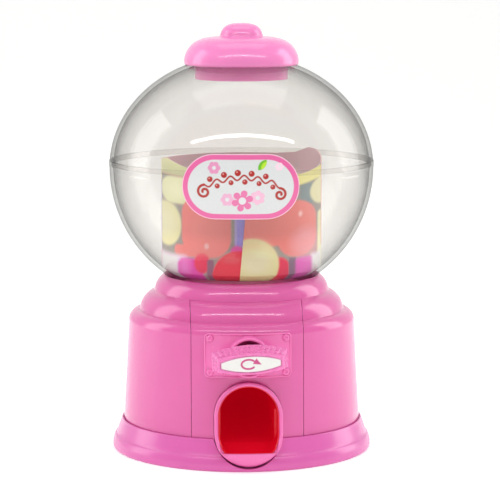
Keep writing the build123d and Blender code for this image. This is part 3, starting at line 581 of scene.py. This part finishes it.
rings = []
for inset, proud in ((0, 0.02), (0, 1.0), (0.05, 1.15), (0.16, 1.24), (0.3, 1.24), (0.42, 1.14), (0.5, 0.95),
                     (0.62, 0.9)):
    rings.append([on_body(x, KNOB_Z + z, proud) for x, z in plate_edge(inset, 1.3 - min(inset, 0.9))])
rings += plate_face(plate_edge(0.62, 0.6), collar(6.56), (0.12, 0.3, 0.5, 0.7, 0.88, 1.0), 0.9)
for radius, y in ((6.5, -41.6), (6.42, -42.2), (6.25, -42.5), (6.0, -42.6), (5.75, -42.6), (5.56, -42.45),
                  (5.5, -42.1), (5.5, -38.5)):
    rings.append([(x, y, KNOB_Z + z) for x, z in collar(radius)])
rings += plate_face(plate_edge(0, 1.3), collar(5.5), (1.0, 0.88, 0.7, 0.5, 0.3, 0.12), 0.02)
plate = as_piece("knob_plate_visual", ring_skin(rings), 50)
plate.data.materials.append(trim_plastic)
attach(plate, "base")
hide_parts("knob_plate")

# ---------------------------------------------------------------- plate rivets
# Four small rivets moulded in the same pink ABS and heat-set into the plate's corners.
# Each head is a low dome with a dimple. One head is turned, and copies of it are set on four points.


def grown(name, source, inputs, build, material):
    """Grows one plain mesh from a source object by a node tree.

    inputs holds the type and value of each named input; build(tree, given) makes the shape's socket.
    """
    tree = bpy.data.node_groups.new(name + "_tree", "GeometryNodeTree")
    tree.interface.new_socket(name="Geometry", in_out="INPUT", socket_type="NodeSocketGeometry")
    modifier = source.modifiers.new(name, "NODES")
    values = {}
    for label, (kind, value) in inputs.items():
        socket = tree.interface.new_socket(name=label, in_out="INPUT", socket_type="NodeSocket" + kind)
        values[socket.identifier] = value
    tree.interface.new_socket(name="Geometry", in_out="OUTPUT", socket_type="NodeSocketGeometry")
    given = add(tree, "NodeGroupInput")
    real = add(tree, "GeometryNodeRealizeInstances", None, {"Geometry": build(tree, given)})
    coated = add(tree, "GeometryNodeSetMaterial", None,
                 {"Geometry": real.outputs["Geometry"], "Material": given.outputs["Finish"]})
    add(tree, "NodeGroupOutput", None, {"Geometry": coated.outputs["Geometry"]})
    modifier.node_group = tree
    for identifier, value in values.items():
        modifier[identifier] = value
    settled(source, 50)
    coat(source, material)
    source.data.polygons.foreach_set("material_index", [0] * len(source.data.polygons))


def set_on_points(tree, given):
    """A copy of the shape at every point, its Z axis along the way the point faces."""
    shape = add(tree, "GeometryNodeObjectInfo", None, {"Object": given.outputs["Shape"]})
    facing = add(tree, "GeometryNodeInputNamedAttribute", {"data_type": "FLOAT_VECTOR", "Name": "facing"})
    turn = add(tree, "FunctionNodeAlignRotationToVector", {"axis": "Z"}, {"Vector": facing.outputs["Attribute"]})
    copies = add(tree, "GeometryNodeInstanceOnPoints", None,
                 {"Points": given.outputs["Geometry"], "Instance": shape.outputs["Geometry"],
                  "Rotation": turn.outputs["Rotation"], "Scale": given.outputs["Size"]})
    return copies.outputs["Instances"]


rivet_outline = [(0.0, -1.3), (0.6, -1.3), (0.6, 0.0), (1.15, 0.0), (1.15, 0.35), (1.08, 0.52), (0.92, 0.64),
                 (0.7, 0.72), (0.42, 0.76), (0.34, 0.62), (0.2, 0.55), (0.0, 0.55)]
rivet_shape = as_piece("rivet_shape", turned(rivet_outline, 28))
seats = [(x, z) for x in (-12.0, 12.0) for z in (KNOB_Z - 5.4, KNOB_Z + 5.4)]
rivet_points = bpy.data.meshes.new("plate_rivets_visual")
rivet_points.from_pydata([Vector(on_body(x, z, 0.9)) / 1000 for x, z in seats], [], [])
ways = rivet_points.attributes.new("facing", "FLOAT_VECTOR", "POINT")
for way, (x, z) in zip(ways.data, seats):
    way.vector = (x / body_radius(z) * 0.5, -1.0, 0.0)
rivets = placed("plate_rivets_visual", rivet_points)
grown("rivets", rivets, {"Shape": ("Object", rivet_shape), "Size": ("Float", 1.0),
                         "Finish": ("Material", trim_plastic)}, set_on_points, trim_plastic)
bpy.data.objects.remove(rivet_shape)
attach(rivets, "base")
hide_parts("plate_rivets")

# ---------------------------------------------------------------- knob
# A boat-shaped grip of pink ABS with moulded ribs along its edge, a smooth front lip
# and a shallow recess for its printed label.
KNOB_TURN = math.radians(3.0)
KNOB_TAPER = math.tan(math.radians(11.7))


def lens_outline(length, height, end_height, count=240, corner=0.9):
    """A boat-shaped outline: bowed above and below, straight at its ends."""
    top = arc((-length / 2, end_height / 2), (0, height / 2), (length / 2, end_height / 2), 60)
    bottom = arc((length / 2, -end_height / 2), (0, -height / 2), (-length / 2, -end_height / 2), 60)
    return evenly(eased(top + bottom, corner, 8), count)


def at_knob(u, v, y):
    """A point in the knob's own width and height, turned to its rest angle."""
    return (u * math.cos(KNOB_TURN) - v * math.sin(KNOB_TURN), y,
            KNOB_Z + u * math.sin(KNOB_TURN) + v * math.cos(KNOB_TURN))


def knob_ring(inset, y, count=240):
    """The grip's outline at a depth, drawn in by its taper and an inset."""
    total = inset + (-45.2 - y) * KNOB_TAPER
    return [at_knob(u, v, y) for u, v in lens_outline(23.8 - 2 * total, 9.7 - 2 * total, 6.0 - 1.2 * total, count)]


knob_rings = []
for radius, y in ((3.9, -40.2), (4.2, -40.5), (4.2, -45.1)):
    ring = lens_outline(20.0, 9.0, 5.0)
    knob_rings.append([at_knob(radius * u / math.hypot(u, v), radius * v / math.hypot(u, v), y) for u, v in ring])
# the smooth flange behind the ribs, the wall they stand on, and the front lip
for inset, y in ((2.0, -45.2), (0.2, -45.2), (0.04, -45.3), (0.0, -45.45), (0.0, -46.0), (0.05, -46.15),
                 (0.25, -46.25), (0.27, -46.4), (0.27, -49.0), (0.27, -51.35), (0.2, -51.5), (0.06, -51.62),
                 (0.0, -51.8), (0.0, -52.6), (0.04, -52.9), (0.14, -53.1), (0.28, -53.2), (0.42, -53.2)):
    knob_rings.append(knob_ring(inset, y))
for inset, y in ((-0.04, -53.17), (0.0, -53.08), (0.03, -52.72)):
    knob_rings.append([at_knob(u, v, y) for u, v in lens_outline(19.1 - 2 * inset, 5.3 - 2 * inset, 1.9, 240, 0.5)])
knob = as_piece("knob_visual", ring_skin(knob_rings, closed=False, ends=True), 50)
knob_plastic = moulded_plastic("abs_knob_pink", "#e67ab7", "#e070af", 0.27)
knob.data.materials.append(knob_plastic)

# the ribs: a round bar sunk deep in the side wall at each step of the outline, so little of it shows
RIB_PITCH, RIB_RADIUS, RIB_BACK, RIB_FRONT = 1.72, 0.86, -45.8, -51.6


def bars_on_lines(tree, given):
    """A round bar along every line."""
    lines = add(tree, "GeometryNodeMeshToCurve", None, {"Mesh": given.outputs["Geometry"]})
    circle = add(tree, "GeometryNodeCurvePrimitiveCircle", {"Resolution": 20}, {"Radius": given.outputs["Rib radius"]})
    bars = add(tree, "GeometryNodeCurveToMesh", {"Fill Caps": True},
               {"Curve": lines.outputs["Curve"], "Profile Curve": circle.outputs["Curve"]})
    return bars.outputs["Mesh"]


back_line, front_line = knob_ring(RIB_RADIUS, RIB_BACK, 960), knob_ring(RIB_RADIUS, RIB_FRONT, 960)
length_round = sum(math.dist(a, b) for a, b in zip(back_line, back_line[1:] + back_line[:1]))
rib_count = round(length_round / RIB_PITCH)
rib_ends = []
for i in range(rib_count):
    step = round(960 * i / rib_count) % 960
    rib_ends += [Vector(back_line[step]) / 1000, Vector(front_line[step]) / 1000]
rib_lines = bpy.data.meshes.new("knob_ribs_lines")
rib_lines.from_pydata(rib_ends, [(2 * i, 2 * i + 1) for i in range(rib_count)], [])
ribs = placed("knob_ribs_visual", rib_lines)
grown("ribs", ribs, {"Rib radius": ("Float", RIB_RADIUS / 1000), "Finish": ("Material", knob_plastic)},
      bars_on_lines, knob_plastic)
for piece in (knob, ribs):
    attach(piece, "knob")
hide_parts("knob")

# ---------------------------------------------------------------- knob label
# A sticker of varnished paper, die-cut to the knob's recess and glued into it.
# Its print is a pale ground, a fine pink edge and a turning arrow.


def disc(x, z, at_x, at_z, radius, soft=0.16):
    """1 inside a circle, 0 outside, with a soft printed edge."""
    return np.clip(0.5 - (np.hypot(x - at_x, z - at_z) - radius) / soft, 0, 1)


def stroke(x, z, points, width, soft=0.16):
    """1 on a line through points, 0 off it."""
    nearest = np.full(x.shape, 1e9)
    for (ax, az), (bx, bz) in zip(points, points[1:]):
        dx, dz = bx - ax, bz - az
        t = np.clip(((x - ax) * dx + (z - az) * dz) / max(dx * dx + dz * dz, 1e-9), 0, 1)
        nearest = np.minimum(nearest, np.hypot(x - ax - t * dx, z - az - t * dz))
    return np.clip(0.5 - (nearest - width / 2) / soft, 0, 1)


def slab(x, z, x0, x1, z0, z1, radius, soft=0.16):
    """1 inside a rounded rectangle, 0 outside."""
    px = np.abs(x - (x0 + x1) / 2) - (x1 - x0) / 2 + radius
    pz = np.abs(z - (z0 + z1) / 2) - (z1 - z0) / 2 + radius
    away = np.hypot(np.maximum(px, 0), np.maximum(pz, 0)) + np.minimum(np.maximum(px, pz), 0) - radius
    return np.clip(0.5 - away / soft, 0, 1)


def printed(inks, *layers):
    """Prints layers of (colour, mask) one over another on what is already there."""
    for hex_colour, mask in layers:
        inks = inks * (1 - mask[..., None]) + np.array(linear(hex_colour)) * mask[..., None]
    return inks


def ground(x, hex_colour):
    """One colour over a whole grid."""
    return np.ones(x.shape + (4,)) * np.array(linear(hex_colour))


def printed_sheet(name, front, back, colours, back_colours):
    """A thin sheet between two grids of points, with its print in a colour attribute."""
    rows, columns = front.shape[:2]
    count = rows * columns
    index = np.arange(count).reshape(rows, columns)
    quads = np.stack([index[:-1, :-1], index[:-1, 1:], index[1:, 1:], index[1:, :-1]], -1).reshape(-1, 4)
    faces = [quads, quads[:, ::-1] + count]
    border = np.concatenate([index[0, :-1], index[:-1, -1], index[-1, :0:-1], index[:0:-1, 0]])
    after = np.roll(border, -1)
    faces.append(np.stack([after, border, border + count, after + count], -1))
    faces = np.concatenate(faces)
    mesh = bpy.data.meshes.new(name)
    points = np.concatenate([front.reshape(-1, 3), back.reshape(-1, 3)]) / 1000
    mesh.from_pydata(points.tolist(), [], faces.tolist())
    inks = mesh.color_attributes.new("print", "FLOAT_COLOR", "POINT")
    both = np.concatenate([colours.reshape(-1, 4), back_colours.reshape(-1, 4)]).astype(np.float32)
    inks.data.foreach_set("color", both.ravel())
    return placed(name, smoothed(mesh, 50))


# coated paper: offset print under a thin gloss varnish, with a faint paper tooth in the colour and the sheen
def printed_paper(name, rough_low, rough_high, varnish):
    material, tree, out = new_material(name)
    ink = add(tree, "ShaderNodeAttribute", {"attribute_name": "print"}).outputs["Color"]
    tooth = noise(tree, 1600.0, 3.0)
    shaded = add(tree, "ShaderNodeVectorMath", {"operation": "SCALE"},
                 {"Vector": ink, "Scale": ranged(tree, tooth, 0.93, 1.03)})
    relief = add(tree, "ShaderNodeBump", {"Strength": 0.05, "Distance": 0.0001}, {"Height": tooth})
    surface = add(tree, "ShaderNodeBsdfPrincipled", {"IOR": 1.5, "Coat Weight": varnish, "Coat Roughness": 0.15},
                  {"Base Color": shaded.outputs[0], "Roughness": ranged(tree, tooth, rough_low, rough_high),
                   "Normal": relief.outputs["Normal"]})
    tree.links.new(surface.outputs[0], out.inputs["Surface"])
    return material


label_paper = printed_paper("varnished_label_paper", 0.28, 0.4, 0.3)
steps = np.linspace(-1, 1, 151)
across = 9.35 * np.sin(steps * math.pi / 2)
curve_radius = (9.45**2 + (2.55 - 0.95) ** 2) / (2 * (2.55 - 0.95))
half = 2.55 - curve_radius + np.sqrt(curve_radius**2 - across**2)
u, v = np.meshgrid(across, np.linspace(-1, 1, 49))
v = v * (half * 0.98)[None, :]
from_edge = np.minimum(half[None, :] - np.abs(v), 9.4 - np.abs(u))


def facet(x, z, corners, soft=0.14):
    """1 inside a convex shape whose corners run anticlockwise, 0 outside."""
    inside = np.full(x.shape, 1e9)
    for (ax, az), (bx, bz) in zip(corners, corners[1:] + corners[:1]):
        long = math.dist((ax, az), (bx, bz))
        inside = np.minimum(inside, ((bx - ax) * (z - az) - (bz - az) * (x - ax)) / long)
    return np.clip(0.5 + inside / soft, 0, 1)


turns = [math.radians(40 + 6 * i) for i in range(47)]
arrow_shaft = [(-0.75 + 2.2 * math.cos(a), 0.05 + 1.45 * math.sin(a)) for a in turns]
inks = printed(ground(u, "#e3e3df"),
               ("#d98db4", 1 - np.clip((from_edge - 0.16) / 0.14, 0, 1)),
               ("#c4407f", stroke(u, v, arrow_shaft, 0.6)),
               ("#c4407f", facet(u, v, [(1.75, 1.75), (0.55, 0.1), (3.3, -0.25)])))


def label_points(u, v, y):
    """A grid of points at a depth in the knob's face."""
    x, _, z = at_knob(u, v, y)
    return np.stack([x, np.full(x.shape, y), z], -1)


knob_label = printed_sheet("knob_label_visual", label_points(u, v, -53.0), label_points(u, v, -52.7), inks,
                           ground(u, "#e9e6e0"))
knob_label.data.materials.append(label_paper)
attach(knob_label, "knob")
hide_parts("knob_label")

# ---------------------------------------------------------------- globe bowl and dome
# Two clear polystyrene mouldings, 1.2 mm thick, pushed together by a stepped rim at the widest place.
# The bowl's neck sits in the base's socket and the dome's top is open for filling.

# clear polystyrene: water-white, mirror-bright only at a glancing view, with a faint grey edge of painted shade
clear, tree, out = new_material("clear_polystyrene")
facing = add(tree, "ShaderNodeLayerWeight", {"Blend": 0.5}).outputs["Facing"]
power = add(tree, "ShaderNodeMath", {"operation": "POWER", 1: 5.0}, {0: facing})
gloss_share = ranged(tree, power.outputs[0], 0.035, 0.45)
# painted shade: the see-through tint greys towards glancing views, at the globe's edge
edge = add(tree, "ShaderNodeMath", {"operation": "POWER", 1: 4.6}, {0: facing})
tint = blend(tree, edge.outputs[0], "#f9f8f7", "#8f8f8e")
through = add(tree, "ShaderNodeBsdfTransparent", None, {"Color": tint})
# moulding flow: waves some 12 mm long that only bend the reflections
waves = add(tree, "ShaderNodeBump", {"Strength": 0.08, "Distance": 0.001}, {"Height": noise(tree, 80.0, 1.0)})
mirror = add(tree, "ShaderNodeBsdfAnisotropic", {"Roughness": 0.06}, {"Normal": waves.outputs["Normal"]})
mixed = add(tree, "ShaderNodeMixShader", None,
            {0: gloss_share, 1: through.outputs[0], 2: mirror.outputs[0]})
tree.links.new(mixed.outputs[0], out.inputs["Surface"])

GLOBE_Z, GLOBE_R, WALL = 93.0, 43.3, 1.2
DOME_HIGH = 36.7  # the flattened upper half is lower than it is wide


def ball_line(radius, low_z, high_z, count):
    """Points down the globe's round side between two heights."""
    a0, a1 = math.asin((low_z - GLOBE_Z) / radius), math.asin((high_z - GLOBE_Z) / radius)
    return [(radius * math.cos(a0 + (a1 - a0) * i / count), GLOBE_Z + radius * math.sin(a0 + (a1 - a0) * i / count))
            for i in range(count + 1)]


neck_z = GLOBE_Z - math.sqrt(GLOBE_R**2 - 24.4**2)
inner_neck_z = GLOBE_Z - math.sqrt((GLOBE_R - WALL) ** 2 - 23.2**2)
bowl_outline = [(23.3, 52.0), (24.3, 52.0), (24.4, 52.1), (24.4, neck_z - 0.5), (24.45, neck_z - 0.1)]
bowl_outline += ball_line(GLOBE_R, neck_z + 0.3, GLOBE_Z, 56)
bowl_outline += [(43.36, 93.25), (43.4, 93.5), (43.4, 95.25), (43.32, 95.38), (42.8, 95.4), (42.7, 95.3)]
bowl_outline += [(42.7, 93.6)] + ball_line(GLOBE_R - WALL, GLOBE_Z - 0.2, inner_neck_z + 0.3, 56)
bowl_outline += [(23.22, inner_neck_z - 0.2), (23.2, inner_neck_z - 0.8)]
bowl = as_piece("globe_bowl_visual", turned(bowl_outline, 224))


def dome_line(inset, low_z, high_z, count):
    """Points on the flattened upper half between two heights."""
    a0 = math.asin((low_z - GLOBE_Z) / (DOME_HIGH - inset))
    a1 = math.asin((high_z - GLOBE_Z) / (DOME_HIGH - inset))
    return [((GLOBE_R - inset) * math.cos(a0 + (a1 - a0) * i / count),
             GLOBE_Z + (DOME_HIGH - inset) * math.sin(a0 + (a1 - a0) * i / count)) for i in range(count + 1)]


mouth_z = GLOBE_Z + DOME_HIGH * math.sqrt(1 - (15.5 / GLOBE_R) ** 2)
inner_mouth_z = GLOBE_Z + (DOME_HIGH - WALL) * math.sqrt(1 - (15.5 / (GLOBE_R - WALL)) ** 2)
dome_outline = dome_line(0, 95.52, mouth_z, 64) + dome_line(WALL, inner_mouth_z, 95.5, 64)
dome_outline += [(41.95, 95.2), (41.9, 93.9), (42.0, 93.8), (42.55, 93.8), (42.65, 93.9), (42.65, 95.45)]
dome = as_piece("globe_dome_visual", turned(dome_outline, 224))
for piece, node in ((bowl, "globe_bowl"), (dome, "globe_dome")):
    piece.data.materials.append(clear)
    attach(piece, "base")
    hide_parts(node)

# ---------------------------------------------------------------- globe label
# A die-cut sticker of the same varnished paper, glued across the globe's seam. It has a pink edge,
# small flowers, a leaf and a garland of gumballs with a curl at each end.
LABEL_TURN = math.radians(-3.5)
ends = 8.1 + 10.2 * np.sin(np.linspace(0, 1, 78)[1:] * math.asin(0.9982))
across = np.concatenate([-ends[::-1], np.linspace(-8.1, 8.1, 124), ends])
half = 0.05 + np.sqrt(10.2**2 - np.maximum(np.abs(across) - 8.1, 0) ** 2)
u, v = np.meshgrid(across, np.linspace(-1, 1, 157))
v = v * half[None, :]


def flower(inks, at_x, at_z, petal_at, petal, heart, colour, turn=0.0):
    """Six round petals about a pale heart."""
    for i in range(6):
        a = turn + math.tau * i / 6
        petal_mask = disc(u, v, at_x + petal_at * math.cos(a), at_z + petal_at * math.sin(a), petal)
        inks = printed(inks, (colour, petal_mask))
    return printed(inks, (colour, disc(u, v, at_x, at_z, petal_at * 0.78)), ("#d9d9da", disc(u, v, at_x, at_z, heart)))


def curl(at_x, at_z, size, way):
    """A scroll that starts at its top and winds in to its middle."""
    angles = [math.pi / 2 + 1.3 * math.tau * i / 40 for i in range(40)]
    sizes = [size * (1 - i / 40 * 0.8) for i in range(40)]
    return [(at_x + way * r * math.cos(a), at_z + r * math.sin(a)) for a, r in zip(angles, sizes)]


def garland_z(x):
    """The height of the garland's arch."""
    return 3.0 - 0.02 * (x - 0.5) ** 2


past_straight = np.hypot(np.maximum(np.abs(u) - 8.05, 0), np.abs(v))
edge_depth = 10.25 - np.where(np.abs(u) > 8.05, past_straight, np.abs(v))
inks = printed(ground(u, "#d3d5d5"),
               ("#de5f9b", np.clip(0.5 - (edge_depth - 1.75) / 0.18, 0, 1)),
               ("#eec3d6", np.clip(0.5 - (edge_depth - 0.22) / 0.15, 0, 1)))
inks = flower(inks, -8.3, 6.0, 1.15, 0.85, 0.6, "#dc8fb5")
inks = flower(inks, -4.2, -3.9, 1.25, 0.85, 0.65, "#e3aac7")
inks = flower(inks, 5.3, -3.3, 1.35, 0.95, 0.7, "#e8b4cc", turn=0.4)
inks = flower(inks, 12.0, 6.3, 0.75, 0.55, 0.35, "#f0d0de")
leaf = np.minimum(disc(u, v, 5.5, 7.9, 2.6), disc(u, v, 8.0, 5.9, 2.6))
RED = "#a81712"
vine = [(x, garland_z(x) + 0.75 * math.sin(x * 1.45)) for x in np.linspace(-11.4, 12.2, 120)]
inks = printed(inks, ("#68b31b", leaf), ("#b4dd2c", np.minimum(leaf, disc(u, v, 8.3, 6.0, 1.95, 0.4))),
               (RED, stroke(u, v, vine, 0.55)),
               (RED, stroke(u, v, curl(-11.4, vine[0][1] - 2.2, 2.2, 1), 0.8)),
               (RED, stroke(u, v, curl(12.2, vine[-1][1] - 2.0, 2.0, -1), 0.8)))
for at_x, rise, size in ((-9.6, 1.5, 0.9), (-7.3, -1.4, 0.8), (-5.2, 1.5, 0.95), (-3.0, -1.3, 0.8), (-0.9, 1.5, 1.0),
                         (1.3, -1.3, 0.85), (3.4, 1.4, 0.95), (5.7, -1.3, 0.8), (7.8, 1.4, 0.9), (10.0, -1.2, 0.8)):
    at_z = garland_z(at_x) + rise
    shine = disc(u, v, at_x - 0.25 * size, at_z + 0.3 * size, 0.24 * size)
    inks = printed(inks, (RED, disc(u, v, at_x, at_z, size)), ("#e0a09c", shine))
inks = flower(inks, 0.5, -4.3, 2.35, 1.05, 1.15, "#dd6fa2", turn=0.28)


def globe_label_points(proud):
    """The label's grid of points, standing proud of the globe and turned round it."""
    z = 90.65 + v
    below = np.sqrt(np.maximum(GLOBE_R**2 - (z - GLOBE_Z) ** 2, 0))
    above = GLOBE_R * np.sqrt(np.maximum(1 - ((z - GLOBE_Z) / DOME_HIGH) ** 2, 0))
    radius = np.where(z < GLOBE_Z, below, above) + proud
    out_by = np.sqrt(radius**2 - u**2)
    return np.stack([u * math.cos(LABEL_TURN) + out_by * math.sin(LABEL_TURN),
                     u * math.sin(LABEL_TURN) - out_by * math.cos(LABEL_TURN), z], -1)


globe_label = printed_sheet("globe_label_visual", globe_label_points(0.36), globe_label_points(0.14),
                            inks, ground(u, "#ece8e4"))
globe_label.data.materials.append(label_paper)
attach(globe_label, "base")
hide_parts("globe_label")

# ---------------------------------------------------------------- printed card
# A sheet of thin card printed with round sweets, rolled into a tube with its ends overlapping
# at the front, and pushed down inside the bowl so that its foot turns in.
CARD_R, FOOT_Z = 26.3, 58.2
column_turn = [np.linspace(0, 84, 232)[:-1], np.linspace(84, 278, 100)[:-1], np.linspace(278, 372, 246)]
turn_deg, share = np.meshgrid(np.concatenate(column_turn), np.linspace(0, 1, 84))
slant = np.interp(share, [0.0, 0.6, 1.0], [-4.6, -0.6, 1.8])
seen_deg = turn_deg + slant
top_z = np.interp(np.mod(seen_deg, 360), [0, 46, 75, 90, 105, 118, 132, 150, 180, 240, 275, 290, 318, 345, 360],
                  [92.5, 92.4, 94.3, 96.0, 98.0, 98.2, 96.2, 95.4, 95.3, 95.2, 95.8, 96.9, 94.1, 93.0, 92.5])
z = FOOT_Z + (top_z - FOOT_Z) * share
tucked = np.clip((turn_deg - 325) / 33, 0, 1)
inward = 0.45 * tucked**2 * (3 - 2 * tucked)
bowl_r = np.sqrt(42.0**2 - np.minimum(z - GLOBE_Z, 0) ** 2)
out_r = np.minimum(CARD_R, bowl_r) - inward
angle = np.radians(seen_deg)
side = np.stack([np.sin(angle), -np.cos(angle), np.zeros(angle.shape)], -1)
front = side * out_r[..., None]
front[..., 2] = z
back = side * (out_r - 0.35)[..., None]
back[..., 2] = z

# the print, drawn on the tube unrolled: x runs to the right from the front, seen square on
wrap = np.mod(seen_deg + 3.2 + 180, 360) - 180
round_back = np.sign(wrap) * (CARD_R + 0.46 * (np.abs(wrap) - 90))
x = np.where(np.abs(wrap) < 90, CARD_R * np.sin(np.radians(wrap)), round_back)
under = turn_deg > 180
inks = ground(x, "#8a807d")


def oval(at_x, at_z, wide, high, soft=0.7):
    """1 inside an ellipse on the unrolled sheet."""
    size = np.hypot((x - at_x) / wide, (z - at_z) / high)
    return np.clip(0.5 - (size - 1) * min(wide, high) / soft, 0, 1)


def block(x0, x1, z0, z1, radius, soft=0.6):
    """1 inside a rounded rectangle on the unrolled sheet."""
    return slab(x, z, x0, x1, z0, z1, radius, soft)


# generic round sweets all round the back and sides, then the ones that show at the front
sweets = ("#da706c", "#dedaa8", "#c95a9c", "#d83740", "#9a86c4", "#e08f8c", "#d9cf92", "#da706c")
for row, row_z in enumerate((61.0, 72.5, 84.5, 95.5)):
    for step in range(-6, 7):
        at_x = step * 11.6 + (row % 2) * 5.8
        sweet = oval(at_x, row_z + ((step * 7) % 3 - 1) * 0.9, 5.9, 6.4)
        inks = printed(inks, (sweets[(step * 3 + row * 5) % 8], sweet))
front_side = np.clip(0.5 - (np.abs(wrap) - 82) / 1.5, 0, 1)
painted = printed(
    ground(x, "#87817a"),
    ("#c3c596", block(-40, -13, 91.6, 110, 0.5, 0.5)),
    ("#e0dbb0", block(-40, -13, 95.0, 110, 0.5, 3.0) * 0.6),
    ("#cfd0a0", block(-26, -12.5, 82.6, 91.2, 3.6)),
    ("#e2e3bc", block(-24.6, -18, 84.0, 90.4, 2.6, 4.0) * 0.7),
    ("#c98a7a", stroke(x, z, [(-25.4, 91.9), (-17, 91.1)], 0.35, 0.4) * 0.7),
    ("#b98c74", stroke(x, z, [(-25.6, 83.6), (-23.4, 82.4), (-18, 82.2)], 0.3, 0.4) * 0.6),
    ("#d2cc94", oval(-24.4, 75.6, 5.0, 7.2)),
    ("#dedbb4", oval(-24.0, 76.4, 3.2, 5.2, 3.5) * 0.8),
    ("#d96c68", block(-19.2, -3.4, 66.0, 86.0, 6.2)),
    ("#d96c68", block(-21.6, -10.0, 65.9, 69.5, 1.4)),
    ("#df7f7a", oval(-11.0, 74.0, 6.2, 6.5, 5.0) * 0.5),
    ("#e9b2b2", oval(-11.2, 69.6, 0.7, 0.9, 0.6) * 0.7),
    ("#9b8cc2", block(-2.2, 2.0, 69.6, 90.0, 0.6, 0.5)),
    ("#8478c6", block(-1.5, 2.0, 70.0, 90.0, 0.6)),
    ("#c64b93", oval(-1.4, 67.8, 2.2, 2.2)),
    ("#e4cfe2", block(-40, -18.0, 40, 65.7, 0.4, 2.2)),
    ("#c23e97", block(-20.6, -12.2, 56.0, 65.4, 2.6, 0.9)),
    ("#cf6fb4", block(-20.0, -16.5, 60.0, 65.2, 1.6, 2.5) * 0.7),
    ("#d5314c", oval(-12.6, 64.0, 2.6, 3.2)),
    ("#7a5568", block(-11.1, -8.9, 50.0, 65.3, 0.6)),
    ("#d8303c", oval(-1.0, 59.4, 8.4, 8.9, 0.6)),
    ("#e35a5e", oval(-3.4, 65.4, 3.2, 1.1, 1.2) * 0.6),
)
right = printed(
    ground(x, "#87817a"),
    ("#d96f66", block(-5.0, 13.4, 69.6, 86.5, 3.0)),
    ("#e08f84", stroke(x, z, [(2.0, 77.4), (2.3, 75.0), (3.3, 73.0)], 0.3, 0.4) * 0.6),
    ("#d96f68", block(11.4, 24.3, 65.8, 84.0, 6.2)),
    ("#d98f96", oval(20.8, 70.0, 4.6, 4.6, 4.0) * 0.7),
    ("#eabfbd", oval(19.0, 79.5, 0.6, 0.8, 0.7) * 0.8),
    ("#dedbb0", block(24.8, 40, 62.0, 79.5, 1.0, 0.7)),
    ("#6d7e80", block(19.0, 23.8, 82.4, 89.0, 1.6) * (1 - block(11.4, 24.3, 65.8, 84.0, 6.2))),
    ("#d6d2a4", oval(27.4, 86.0, 5.2, 4.6)),
    ("#d8d282", stroke(x, z, [(12.0, 90.2), (19.0, 90.7), (25.6, 92.2), (40, 96)], 3.6, 0.5)),
    ("#d9cbdd", block(22.6, 40, 50, 65.8, 0.5, 1.6)),
    ("#d7304a", block(8.0, 15.2, 50.0, 66.0, 3.0)),
    ("#6f5f70", block(15.2, 17.6, 50.0, 65.6, 0.4, 0.5)),
    ("#c659a8", block(17.4, 22.8, 50.0, 65.4, 1.2, 1.0)),
    ("#d2c48c", oval(3.3, 63.8, 8.7, 8.5, 0.6)),
    ("#ded6a8", oval(4.4, 65.4, 5.6, 5.4, 5.0) * 0.8),
    ("#c9a870", oval(4.0, 57.6, 7.0, 2.6, 2.5) * 0.5),
)
painted = np.where(under[..., None], painted, right)
inks = inks * (1 - front_side[..., None]) + painted * front_side[..., None]
# painted light: the printed colours are brightened towards the foot, where less light reaches
painted_foot_light = np.interp(z, [58, 66, 74], [1.75, 1.6, 1.12])[..., None]
inks[..., :3] = np.minimum(inks[..., :3] * painted_foot_light, 0.95)
# the sheet's back is unprinted: pale, with the colours just showing through
plain = ground(x, "#f0e0e2") * 0.9 + inks * 0.1
card = printed_sheet("printed_card_visual", front, back, inks, plain)
card.data.materials.append(printed_paper("printed_card_stock", 0.4, 0.52, 0.1))
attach(card, "base")
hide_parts("printed_card")

# ---------------------------------------------------------------- lid
# One pink moulding that lifts off: a low cap with a rolled edge, a button to grip it by,
# and a skirt that drops into the globe's mouth.


def flowing(points, per=5):
    """A smooth line through points."""
    line = []
    for i in range(len(points) - 1):
        before = Vector(points[max(i - 1, 0)])
        a, b = Vector(points[i]), Vector(points[i + 1])
        after = Vector(points[min(i + 2, len(points) - 1)])
        for k in range(per):
            t = k / per
            line.append(tuple(0.5 * (2 * a + (b - before) * t + (2 * before - 5 * a + 4 * b - after) * t**2
                                     + (3 * a - before - 3 * b + after) * t**3)))
    return line + [tuple(points[-1])]


lid_outline = [(16.9, 127.2), (17.3, 126.75)]
lid_outline += flowing([(18.1, 126.35), (18.55, 126.6), (18.75, 127.3), (18.7, 128.4), (18.3, 129.9), (17.6, 131.3),
                        (16.5, 132.75), (14.9, 134.0), (12.6, 134.95), (9.8, 135.45), (7.7, 135.6)])
lid_outline += flowing([(7.15, 135.72), (6.95, 136.1), (6.6, 137.2), (5.9, 138.3), (4.7, 139.25), (3.0, 139.8),
                        (1.4, 139.97), (0.0, 140.0)])
lid_outline += [(0.0, 138.2), (4.4, 137.2), (5.2, 136.2), (5.2, 134.2), (9.4, 133.4), (14.0, 132.0), (14.0, 121.9),
                (14.1, 121.8), (15.1, 121.8), (15.2, 121.9), (15.2, 131.4), (16.2, 130.6), (16.6, 130.0)]
lid = as_piece("lid_visual", turned(lid_outline, 224), 50)
lid.data.materials.append(moulded_plastic("abs_lid_pink", "#ea84be", "#e57cb8", 0.2))
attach(lid, "lid")
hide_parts("lid")
